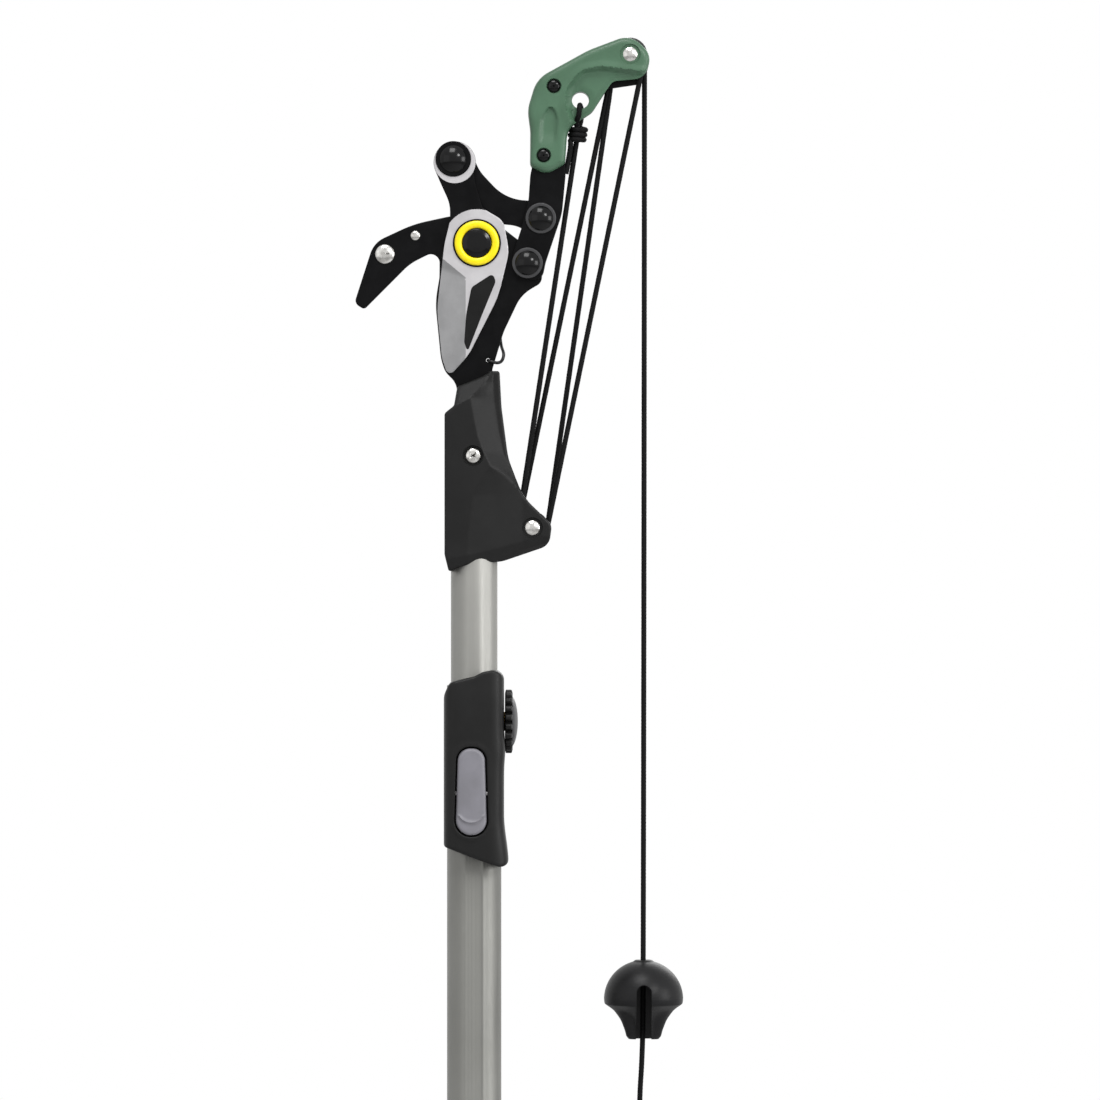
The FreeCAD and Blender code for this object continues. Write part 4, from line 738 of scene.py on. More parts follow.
@dataclass
class Stage:
    """Camera, floor and lights of the studio."""

    spot: Corner = (0.0489, -4.0, 1.3903)
    view_width: float = 0.7095
    sensor: float = 36.0
    soft_level: float = 0.28
    floor_glow: float = 0.45

    def build(self) -> None:
        """Makes the camera at the photograph's angle, a pale floor and soft lamps."""
        scene = bpy.context.scene
        scene.view_settings.view_transform = "Standard"
        data = bpy.data.cameras.new("camera")
        data.sensor_width = self.sensor
        data.lens = self.sensor * -self.spot[1] / self.view_width
        camera = bpy.data.objects.new("camera", data)
        camera.location = self.spot
        camera.rotation_euler = (math.pi / 2, 0.0, 0.0)
        scene.collection.objects.link(camera)
        scene.camera = camera
        for name, spot, aim, size, watts in (
                ("key", (1.9, -2.6, 3.1), 1.45, 0.8, 46.0), ("overhead", (-0.3, -1.5, 4.3), 1.45, 1.5, 70.0),
                ("side", (2.8, -1.2, 1.7), 1.35, 1.2, 30.0), ("fill", (-2.6, -2.6, 1.9), 1.3, 2.6, 9.0),
                ("rim", (0.8, 2.6, 2.6), 1.3, 1.8, 24.0)):
            self.lamp(name, spot, (0.05, 0.0, aim), size, watts)
        self.world()
        self.floor()

    def lamp(self, name: str, spot: Corner, target: Corner, size: float, watts: float) -> None:
        """Square soft lamp that looks at a point."""
        data = bpy.data.lights.new(name, "AREA")
        data.size = size
        data.energy = watts
        lamp = bpy.data.objects.new(name, data)
        lamp.location = spot
        lamp.rotation_euler = (Vector(target) - Vector(spot)).to_track_quat("-Z", "Y").to_euler()
        bpy.context.scene.collection.objects.link(lamp)

    def world(self) -> None:
        """White to the camera and in reflections, a plain soft level as light."""
        world = bpy.data.worlds.new("studio")
        bpy.context.scene.world = world
        world.use_nodes = True
        tree = world.node_tree
        path = add(tree, "ShaderNodeLightPath")
        seen = add(tree, "ShaderNodeMath", {0: path.outputs["Is Camera Ray"], 1: path.outputs["Is Transmission Ray"]},
                   operation="MAXIMUM")
        seen = add(tree, "ShaderNodeMath", {0: seen.outputs[0], 1: path.outputs["Is Glossy Ray"]}, operation="MAXIMUM")
        level = add(tree, "ShaderNodeMapRange", {"Value": seen.outputs[0], "To Min": self.soft_level, "To Max": 1.0})
        back = tree.nodes["Background"]
        back.inputs["Color"].default_value = (1.0, 1.0, 1.0, 1.0)
        tree.links.new(level.outputs[0], back.inputs["Strength"])

    def floor(self) -> None:
        """Round pale floor under the pole."""
        mesh = bpy.data.meshes.new("floor")
        ring = [(6 * math.cos(a * math.pi / 48), 6 * math.sin(a * math.pi / 48), -0.0005) for a in range(96)]
        mesh.from_pydata(ring, [], [list(range(96))])
        material = bpy.data.materials.new("pale_floor")
        material.use_nodes = True
        tree = material.node_tree
        shader = tree.nodes["Principled BSDF"]
        grain = add(tree, "ShaderNodeTexNoise", {"Vector": add(tree, "ShaderNodeTexCoord").outputs["Object"],
                                                 "Scale": 40.0})
        tone = add(tree, "ShaderNodeMapRange", {"Value": grain.outputs["Fac"], "To Min": 0.86, "To Max": 0.9})
        tree.links.new(tone.outputs[0], shader.inputs["Base Color"])
        shader.inputs["Roughness"].default_value = 0.8
        seen = add(tree, "ShaderNodeMath", {0: add(tree, "ShaderNodeLightPath").outputs["Is Camera Ray"],
                                            1: self.floor_glow}, operation="MULTIPLY")
        shader.inputs["Emission Color"].default_value = (1.0, 1.0, 1.0, 1.0)
        tree.links.new(seen.outputs[0], shader.inputs["Emission Strength"])
        mesh.materials.append(material)
        floor = bpy.data.objects.new("floor", mesh)
        bpy.context.scene.collection.objects.link(floor)


def lean_way(angle_deg: float) -> tuple[float, float]:
    """Direction (x, z) that leans clockwise from straight up."""
    angle = math.radians(angle_deg)
    return (math.sin(angle), math.cos(angle))


def rim(centre: Point, lean: float, side: int, y: float) -> Corner:
    """Point where a strand leaves a sheave; side +1 is right, -1 left."""
    dx, dz = lean_way(lean)
    return (centre[0] + side * PITCH_R * dz, y, centre[1] - side * PITCH_R * dx)


@dataclass
class TackleRope:
    """Rope of the tackle: four strands, the turns on the sheaves, knot, fall and hank."""

    braid: BraidedRope
    hank_loops: int = 4
    hank_step: float = 4.4
    hank_inner_r: float = 10.5
    hank_run: float = 62.0
    hank_bend: float = 16.0
    hank_waist: float = 3.0

    def straight(self, name: str, start: Corner, end: Corner, node: str, body: str,
                 lean: Optional[float] = None) -> None:
        """Taut strand between two points, braided and set on its body."""
        a, b = Vector(start), Vector(end)
        way = (b - a).normalized()
        route = nurbs_route(name + "_line", [tuple(a + way * 0.05), tuple((a + b) / 2), tuple(b - way * 0.05)])
        rope = self.braid.make(name, route, 1.0)
        place_piece(rope, body, "rope_black", node)
        if lean is not None:
            way = Vector((lean_way(lean)[0], 0.0, lean_way(lean)[1]))
        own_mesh(rope)

    def turn(self, name: str, centre: Point, y: float, from_deg: float, to_deg: float, node: str,
             body: str) -> bpy.types.Object:
        """Rope laid round one sheave."""
        rope = self.braid.make(name, arc_route(name + "_line", centre, y, from_deg, to_deg))
        return place_piece(rope, body, "rope_black", node)

    def hank_points(self, top: Corner) -> list[Corner]:
        """Corners of the hank: inwards in front, outwards behind, and down to the end."""
        out_r = self.hank_inner_r + (self.hank_loops - 1) * self.hank_step
        middle = top[0] - out_r
        high = top[2] - 12.0
        low = high - self.hank_run
        front, back = top[1], top[1] + HANK_LAYER
        points: list[Corner] = []

        def run(x: float, heights: tuple[float, float], y0: float, y1: float) -> None:
            inward = self.hank_waist if x < 0 else -self.hank_waist
            first, last = heights
            step = self.hank_bend if last > first else -self.hank_bend
            points.extend([(middle + x, y0, first), (middle + x + inward, y0, first + step),
                           (middle + x + inward, y1, last - step), (middle + x, y1, last)])

        def bend(x0: float, x1: float, z: float, y: float) -> None:
            reach = abs(x0 - x1) / 2
            level = z + reach if z > (high + low) / 2 else z - reach
            points.extend([(middle + x0, y, level), (middle + x1, y, level)])

        for k in range(self.hank_loops):
            half = out_r - k * self.hank_step
            run(half, (high, low), front, front)
            bend(half, -half, low, front)
            last = k == self.hank_loops - 1
            run(-half, (low, high), front, back if last else front)
            if not last:
                bend(-half, half - self.hank_step, high, front)
        for k in range(self.hank_loops):
            half = self.hank_inner_r + k * self.hank_step
            bend(-half, half, high, back)
            run(half, (high, low), back, back)
            if k < self.hank_loops - 1:
                bend(half, -(half + self.hank_step), low, back)
                run(-(half + self.hank_step), (low, high), back, back)
        points.append((middle + out_r, back, low - 18.0))
        self.tie_place = (middle, (high + low) / 2, out_r)
        self.rope_end = points[-1]
        return points

    def build(self) -> None:
        """Makes every rope piece; the free cord comes first."""
        top = (UPPER[0] + PITCH_R, SHEAVE_Y, UPPER[1])
        end = (BALL_X - 2.6, SHEAVE_Y, TUBE_TOP - 286.0)
        fall = [top, (BALL_X, SHEAVE_Y, TUBE_TOP - 200.0), (BALL_X - 1.0, SHEAVE_Y, TUBE_TOP - 240.0),
                (BALL_X - 2.6, SHEAVE_Y, TUBE_TOP - 262.0)]
        route = nurbs_route("fall_line", fall + self.hank_points(end))
        path = line_of(route)
        length = sum((Vector(b) - Vector(a)).length for a, b in zip(path, path[1:]))
        log.info("free cord length %.3f m", length)
        rope = self.braid.make("fall_rope", route)
        place_piece(rope, "rope_fall", "rope_black", "rope_fall", "rope_hank")
        self.cord = (rope, path, length)
        dx, dz = UPPER[0] - LOWER[0], UPPER[1] - LOWER[1]
        lean = math.degrees(math.atan2(dx, dz))
        cross = lean - math.degrees(math.asin(2 * PITCH_R / math.hypot(dx, dz)))
        knot = Vector((EYE[0] - 1.7, 0.0, EYE[1] - 21.2))
        gap = (knot.x - LOWER[0], knot.z - LOWER[1])
        dead = math.degrees(math.atan2(*gap) + math.asin(PITCH_R / math.hypot(*gap)))
        front, back = -SHEAVE_Y, SHEAVE_Y
        for name, tilt, low, high, y, keep, way in (("strand_right", lean, 1, 1, front, 0.6406, None),
                                                    ("strand_left", lean, -1, -1, back, 0.6406, None),
                                                    ("strand_cross", cross, 1, -1, back, 0.64, lean)):
            self.straight(name, rim(LOWER, tilt, low, y), rim(UPPER, tilt, high, y), "rope_strands", "tackle",
                          way)
        start = Vector(rim(LOWER, dead, -1, front))
        self.straight("strand_dead", tuple(start), tuple(knot), "rope_dead_end", "dead_end")
        lower, upper = (LOWER, "rope_lower_turns", "tackle"), (UPPER, "rope_upper_turns", "tackle_top")
        for name, (centre, node, body), y, first, final in (
                ("turn_lower_front", lower, front, 180 - dead, 360 - lean),
                ("turn_lower_back", lower, back, 180 - lean, 360 - cross),
                ("turn_upper_front", upper, front, -lean, 180 - lean),
                ("turn_upper_back", upper, back, 34.6, 180 - cross)):
            self.turn(name, centre, y, first, final, node, body)
        last = self.turn("turn_last", UPPER, back, 0.3, 34.2, "rope_last_turn", "rope_fall")
        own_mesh(last)
        self.knot(knot, start)

    def knot(self, knot: Vector, start: Vector) -> None:
        """Loop through the eye, its wraps round the standing part, and the cut tail."""
        down = (start - knot).normalized()
        hole = Vector((EYE[0], 0.0, EYE[1])) + (knot - Vector((EYE[0], 0, EYE[1]))).normalized() * 2.9
        side = 8.5
        low = knot + down * 4.6
        right = Vector((-down.z, 0.0, down.x))
        points = [(-3.6, -2.4, 27.0), (-3.4, -2.8, 18.0), (-3.2, -3.2, 10.0), (-3.6, -3.6, 6.5)]
        for k in range(22):
            angle = math.radians(-150 + 960 / 21 * k)
            points.append((5.0 * math.cos(angle), 4.8 * math.sin(angle), 4.6 - 8.6 * k / 21))
        route = [tuple(knot + right * u + Vector((0.0, v, 0.0)) + down * w) for u, v, w in points]
        route += [(hole.x + 0.9, side - 1.0, hole.z - 9.0), (hole.x + 0.8, side, hole.z - 1.0), (hole.x, 3.5, hole.z),
                  (hole.x, -3.5, hole.z), (hole.x - 0.4, -side, hole.z - 1.0),
                  (hole.x - 0.9, -side + 0.4, hole.z - 8.0),
                  tuple(knot + Vector((-0.9, -4.2, 8.4))), tuple(knot + Vector((-0.6, -1.4, 3.4))), tuple(knot),
                  tuple(low)]
        rope = self.braid.make("knot_rope", nurbs_route("knot_line", route), 0.7)
        place_piece(rope, "rope_knot", "rope_black", "rope_knot")


class FluteTree(PieceTree):
    """Geometry Nodes tree that presses even flutes into a turned body."""

    NAME = "flutes"
    WAYS = ("Centre", "Across", "Up", "Along")
    SIZES = (("Count", 20.0), ("Depth", 0.08), ("Sharpness", 2.0), ("From Radius", 0.0), ("Fade Start", 0.0),
             ("Fade End", 1.0))

    def shape(self, tree: bpy.types.NodeTree, given: bpy.types.NodeOutputs) -> bpy.types.NodeSocket:
        """Draws the surface in by a wave round the axis; angles run from the Across to the Up direction."""
        place = add(tree, "ShaderNodeVectorMath", {0: add(tree, "GeometryNodeInputPosition").outputs[0],
                                                   1: given["Centre"]}, operation="SUBTRACT").outputs[0]
        parts = {}
        for name in ("Across", "Up", "Along"):
            parts[name] = add(tree, "ShaderNodeVectorMath", {0: place, 1: given[name]},
                              operation="DOT_PRODUCT").outputs["Value"]
        angle = self.math("ARCTAN2", parts["Up"], parts["Across"])
        square = self.math("ADD", self.math("MULTIPLY", parts["Up"], parts["Up"]),
                           self.math("MULTIPLY", parts["Across"], parts["Across"]))
        radius = self.math("SQRT", square)
        wave = self.math("COSINE", self.math("MULTIPLY", angle, given["Count"]))
        valley = self.math("POWER", self.math("MULTIPLY", self.math("ADD", wave, 1.0), 0.5), given["Sharpness"])
        outer = self.math("GREATER_THAN", radius, given["From Radius"])
        fade = add(tree, "ShaderNodeMapRange", {"Value": parts["Along"], "From Min": given["Fade Start"],
                                                "From Max": given["Fade End"]}, interpolation_type="SMOOTHSTEP")
        share = self.math("MULTIPLY", self.math("MULTIPLY", valley, outer), fade.outputs[0])
        push = self.math("MULTIPLY", self.math("MULTIPLY", share, given["Depth"]), -1.0)
        flat_x = add(tree, "ShaderNodeVectorMath", {0: given["Across"], "Scale": parts["Across"]}, operation="SCALE")
        flat_y = add(tree, "ShaderNodeVectorMath", {0: given["Up"], "Scale": parts["Up"]}, operation="SCALE")
        flat = add(tree, "ShaderNodeVectorMath", {0: flat_x.outputs[0], 1: flat_y.outputs[0]}, operation="ADD")
        offset = add(tree, "ShaderNodeVectorMath", {0: flat.outputs[0], "Scale": push}, operation="SCALE")
        return add(tree, "GeometryNodeSetPosition", {"Geometry": given["Geometry"],
                                                     "Offset": offset.outputs[0]}).outputs[0]

    def press(self, piece: bpy.types.Object, slot: str, centre: Corner, axis: str, **sizes: float) -> bpy.types.Object:
        """Presses flutes into a body.

        Args:
            piece: the turned body, which is replaced by the result.
            slot: its finish.
            centre: a point of the axis, in millimetres.
            axis: "x" or "z".
            **sizes: the tree's inputs, with spaces as underscores.

        Returns:
            The fluted piece as a plain mesh.
        """
        ways = {"x": ((0, 1, 0), (0, 0, 1), (1, 0, 0)), "z": ((1, 0, 0), (0, 1, 0), (0, 0, 1))}[axis]
        across, up, along = ways
        self.apply(piece, slot, centre=[c * MM for c in centre], across=across, up=up, along=along, **sizes)
        name = piece.name
        piece.name = name + "_base"
        return baked(name, piece, slot, 40.0)


class FastenerTree(PieceTree):
    """Geometry Nodes tree that sets domed heads, plain or cross-recessed, on points."""

    NAME = "fastener_heads"
    SIZES = (("Head Radius", 0.005), ("Head Height", 0.002), ("Recess Width", 0.001), ("Recess Reach", 0.003),
             ("Recess Depth", 0.0), ("Turn", 0.0), ("Spin", 0.0))

    def shape(self, tree: bpy.types.NodeTree, given: bpy.types.NodeOutputs) -> bpy.types.NodeSocket:
        """Cuts the recess and the seat from an oval ball and sets the rest on each point."""
        ball = add(tree, "GeometryNodeMeshUVSphere", {"Segments": 40, "Rings": 28, "Radius": 1.0})
        size = add(tree, "ShaderNodeCombineXYZ", {0: given["Head Radius"], 1: given["Head Radius"],
                                                  2: given["Head Height"]})
        oval = add(tree, "GeometryNodeTransform", {"Geometry": ball.outputs[0], "Scale": size.outputs[0]})
        reach = self.math("MULTIPLY", given["Recess Reach"], 2.0)
        deep = self.math("MULTIPLY", given["Recess Depth"], 2.0)
        lift = add(tree, "ShaderNodeCombineXYZ", {2: given["Head Height"]})
        bars = []
        for x, y in ((reach, given["Recess Width"]), (given["Recess Width"], reach)):
            span = add(tree, "ShaderNodeCombineXYZ", {0: x, 1: y, 2: deep})
            bar = add(tree, "GeometryNodeMeshCube", {"Size": span.outputs[0]})
            bars.append(add(tree, "GeometryNodeTransform", {"Geometry": bar.outputs[0],
                                                            "Translation": lift.outputs[0]}).outputs[0])
        base = add(tree, "GeometryNodeMeshCube", {"Size": (0.1, 0.1, 0.1)})
        under = add(tree, "GeometryNodeTransform", {"Geometry": base.outputs[0], "Translation": (0.0, 0.0, -0.0502)})
        cut = add(tree, "GeometryNodeMeshBoolean", {0: oval.outputs[0]}, operation="DIFFERENCE")
        for cutter in (*bars, under.outputs[0]):
            tree.links.new(cutter, cut.inputs[1])
        turn = add(tree, "ShaderNodeCombineXYZ", {0: given["Turn"]})
        spin = add(tree, "ShaderNodeCombineXYZ", {2: given["Spin"]})
        spun = add(tree, "GeometryNodeTransform", {"Geometry": cut.outputs[0], "Rotation": spin.outputs[0]})
        return add(tree, "GeometryNodeInstanceOnPoints", {"Points": given["Geometry"], "Instance": spun.outputs[0],
                                                          "Rotation": turn.outputs[0]}).outputs[0]

    def set(self, name: str, spots: Sequence[Corner], slot: str, rear: bool = False,
            **sizes: float) -> bpy.types.Object:
        """Sets heads on points that face the front, or the rear.

        Args:
            name: the piece's name.
            spots: seats in millimetres.
            slot: the finish.
            rear: whether they face +Y.
            **sizes: the tree's inputs in millimetres, with spaces as underscores, and spin in radians.

        Returns:
            The heads as one plain mesh.
        """
        mesh = bpy.data.meshes.new(name + "_spots")
        mesh.from_pydata([tuple(c * MM for c in s) for s in spots], [], [])
        points = bpy.data.objects.new(name + "_spots", mesh)
        bpy.context.scene.collection.objects.link(points)
        spin = sizes.pop("spin", 0.0)
        self.apply(points, slot, turn=-math.pi / 2 if rear else math.pi / 2, spin=spin,
                   **{key: size * MM for key, size in sizes.items()})
        return baked(name, points, slot, 32.0)


@dataclass
class HeadHousing:
    """Two moulded halves that hold the head on the tube, with their facets, screws and the recess of the lower axle."""

    face: float = 18.0
    rim: float = 10.2
    cut: float = 7.6
    recess: float = 2.6
    screw: Point = (-0.5, LOWER[1] + 46.3)
    inner_edge: tuple = ((1412.9, 36.0), (1416.1, 32.8), (1423.3, 26.3), (1432.2, 19.1), (1441.9, 11.8),
                         (1453.2, 6.2), (1464.5, 2.1), (1476.5, -0.3), (1487.8, -2.3), (1502.3, 5.7))
    outer_edge: tuple = ((1412.9, 42.5), (1419.3, 36.0), (1429.0, 29.6), (1440.3, 23.9), (1452.4, 19.1),
                         (1467.7, 15.9), (1484.6, 13.4), (1498.3, 12.2), (1506.0, 12.4))
    panel_edge: tuple = ((1389.5, -4.7), (1408.0, -2.7), (1425.8, -0.3), (1439.5, 7.0), (1447.0, 14.0))

    def outline(self) -> list[Point]:
        """Outline of both halves."""
        left = -18.9
        return rounded([(x, LOWER[1] + z, r) for x, z, r in (
            (left, -17.0, 6), (left, 73.5, 3), (-12.8, 78.5, 3), (-10.8, 90.8, 4), (5.0, 97.2, 8), (11.0, 100.9, 1.5),
            (16.4, 100.9, 1.5), (17.6, 78.0, 60), (21.9, 45.0, 45), (31.5, 20.0, 40), (50.2, 2.2, 7),
            (48.4, -11.4, 9), (18.5, -21.6, 20), (-6.0, -24.2, 30), (-16.2, -28.4, 1.5))])

    def heights(self, flat: np.ndarray, front: bool) -> np.ndarray:
        """Facets of the moulded face."""
        x, z = flat[:, 0], flat[:, 1]
        near, far = (np.interp(z, [p[0] for p in edge], [p[1] for p in edge])
                     for edge in (self.inner_edge, self.outer_edge))
        band = self.face - np.clip((x - near) / (far - near), 0, 1) * (self.face - self.rim)
        start = np.interp(z, [p[0] for p in self.panel_edge], [p[1] for p in self.panel_edge])
        panel = self.face - np.clip((x - start) / np.maximum(31.6 - start, 1), 0, 1) * (self.face - self.rim)
        panel = np.where(z > 1447.0, self.face, panel)
        above = (x + 2.3) * -0.47 + (z - 1487.8) * 0.883
        top = self.face - np.clip(above, 0, 20) * 0.6
        low = np.interp(x, (-19.0, -1.1, 11.8, 30.4, 44.0), (1383.5, 1386.7, 1389.5, 1394.7, 1399.0))
        height = np.minimum(np.minimum(band, panel), top) - np.clip(low - z, 0, 7) * 0.55
        height = np.where(gap_to(flat, LOWER) < 6.5, np.minimum(height, self.rim - 1.6), height)
        for spot in self.screws(front):
            height = np.where(gap_to(flat, spot) < 6.6, self.face - self.recess, height)
        return height

    def screws(self, front: bool) -> list[Point]:
        """Screw places of one half."""
        return [self.screw] if front else [(0.0, LOWER[1] + 8.0), (0.0, LOWER[1] - 12.0)]

    def creases(self, front: bool) -> tuple[list[Point], ...]:
        """Lines that need their own points: facet edges and recess rims."""
        lines = []
        for edge in (self.inner_edge, self.outer_edge, self.panel_edge):
            for shift in (-0.3, 0.3):
                lines.append(rounded([(x + shift, z, 14.0) for z, x in edge], False, 0.9))
        lines.append(rounded([(-18.8, 1479.0, 0), (-2.3, 1487.8, 0)], False, 0.9))
        for spot in self.screws(front):
            lines += [hole_line(spot, r, 56) for r in (6.45, 6.75)]
        return (*lines, hole_line(LOWER, 6.35, 56), hole_line(LOWER, 6.65, 56))

    def build(self, fasteners: FastenerTree) -> None:
        """Makes both halves and the screws."""
        for front, node in ((True, "head_shell_front"), (False, "head_shell_back")):
            side = -1 if front else 1
            skin = Relief(self.outline(), self.cut, lambda flat, f=front: self.heights(flat, f), edge=1.5,
                          creases=self.creases(front), grid=1.6)
            piece = joined(node + "_skin", "black_moulding", skin.shape(side), inner_copy(node, self.cut, side),
                           smooth_deg=24.0)
            place_piece(piece, "head", "black_moulding", node)
        seat = self.face - self.recess
        heads = fasteners.set("housing_front_screw", [(self.screw[0], -seat, self.screw[1])], "polished_steel",
                              head_radius=5.4, head_height=2.2, recess_width=1.2, recess_reach=3.3,
                              recess_depth=1.3, spin=0.8)
        place_piece(heads, "head", "polished_steel", "head_screws")
        rear = fasteners.set("housing_rear_screws", [(x, seat, z) for x, z in self.screws(False)], "polished_steel",
                             rear=True, head_radius=5.4, head_height=1.8, recess_width=1.2, recess_reach=3.3,
                             recess_depth=1.2, spin=0.3)
        place_piece(rear, "head", "polished_steel", "head_screws")


@dataclass
class ArmCovers:
    """Green moulded halves of the arm, with the ridge, the dish of the rope's eye and the thumb hollow."""

    face: float = 10.2
    cut: float = 5.6
    dish: tuple = ((62.5, 1666.0, 6), (58.8, 1675.0, 8), (59.4, 1688.0, 9), (69.0, 1699.0, 9), (82.0, 1701.6, 14),
                   (96.0, 1699.8, 14), (118.0, 1697.0, 0), (118.0, 1640.0, 0), (62.5, 1640.0, 0))
    screws: tuple = ((51.4, 1688.9), (44.8, 1644.3))

    def outline(self) -> list[Point]:
        """Outline of both halves."""
        return rounded(from_main([
            (34.2, 49.5, 4), (44.6, 43.8, 12), (56.8, 51.0, 4), (58.4, 73.9, 12), (74.2, 84.4, 10), (81.4, 95.6, 7),
            (87.6, 104.4, 6), (108.6, 106.2, 10), (112.4, 121.5, 11), (99.0, 134.4, 14), (72.0, 124.2, 60),
            (38.6, 105.8, 20), (32.6, 86.0, 22), (34.4, 72.0, 40)]), step=1.0)

    def heights(self, flat: np.ndarray) -> np.ndarray:
        """Face with its ridge, dish, hollow and recesses."""
        x, z = flat[:, 0], flat[:, 1]
        line = rounded(self.dish)
        inside = inside_loop(flat, line)
        gap = distance_to(flat, line)
        height = self.face - np.where(inside, soft(gap, 0.0, 3.0) * 3.9, 0.0)
        height += np.where(inside, 0.0, 0.7 * (1 - soft(gap, 0.0, 5.0)))
        height = np.where(inside, height - 0.5 * (1 - soft(gap_to(flat, EYE), 5.5, 8.5)), height)
        along = np.clip((1675.5 - z) / 27.0, 0, 1)
        width = 6.6 * np.sqrt(np.clip(along * 3.2, 0.001, 1))
        side = np.abs(x - (49.2 - 2.2 * along)) / width
        height -= 2.1 * (1 - soft(side, 0.45, 1.0)) * (1 - soft(along, 0.55, 1.0)) * (z < 1675.5)
        for spot in self.screws:
            away = gap_to(flat, spot)
            height = np.where(away < 4.75, self.face - 1.9, np.maximum(height, self.face - 6 * soft(away, 4.7, 9.0)))
        return np.where(gap_to(flat, UPPER) < 6.5, self.face - 1.0, height)

    def creases(self) -> tuple[list[Point], ...]:
        """Recess rims, the ridge and the eye's dish."""
        line = rounded(self.dish, step=0.9)
        rings = [hole_line(spot, r, 44) for spot in self.screws for r in (4.6, 4.9)]
        return (line, *rings, hole_line(UPPER, 6.35, 56), hole_line(UPPER, 6.65, 56))

    def build(self, fasteners: FastenerTree) -> None:
        """Makes both halves and the screws."""
        eye = hole_line(EYE, 5.5, 48)
        for side, node in ((-1, "arm_cover_front"), (1, "arm_cover_back")):
            skin = Relief(self.outline(), self.cut, self.heights, edge=3.8, holes=(eye,), hole_edge=0.8, grid=0.85,
                          creases=self.creases())
            piece = joined(node + "_skin", "green_moulding", skin.shape(side), inner_copy(node, self.cut, side),
                           smooth_deg=40.0)
            place_piece(piece, "lever", "green_moulding", node)
        seat = self.face - 1.9
        heads = fasteners.set("arm_front_screws", [(x, -seat, z) for x, z in self.screws], "dome_black",
                              head_radius=4.3, head_height=2.2, recess_width=0.9, recess_reach=2.5,
                              recess_depth=1.2, spin=0.35)
        place_piece(heads, "lever", "dome_black", "arm_screws")
        tails = fasteners.set("arm_rear_screws", [(x, seat, z) for x, z in self.screws], "dome_black", rear=True,
                              head_radius=3.3, head_height=1.2)
        place_piece(tails, "lever", "dome_black", "arm_screws")


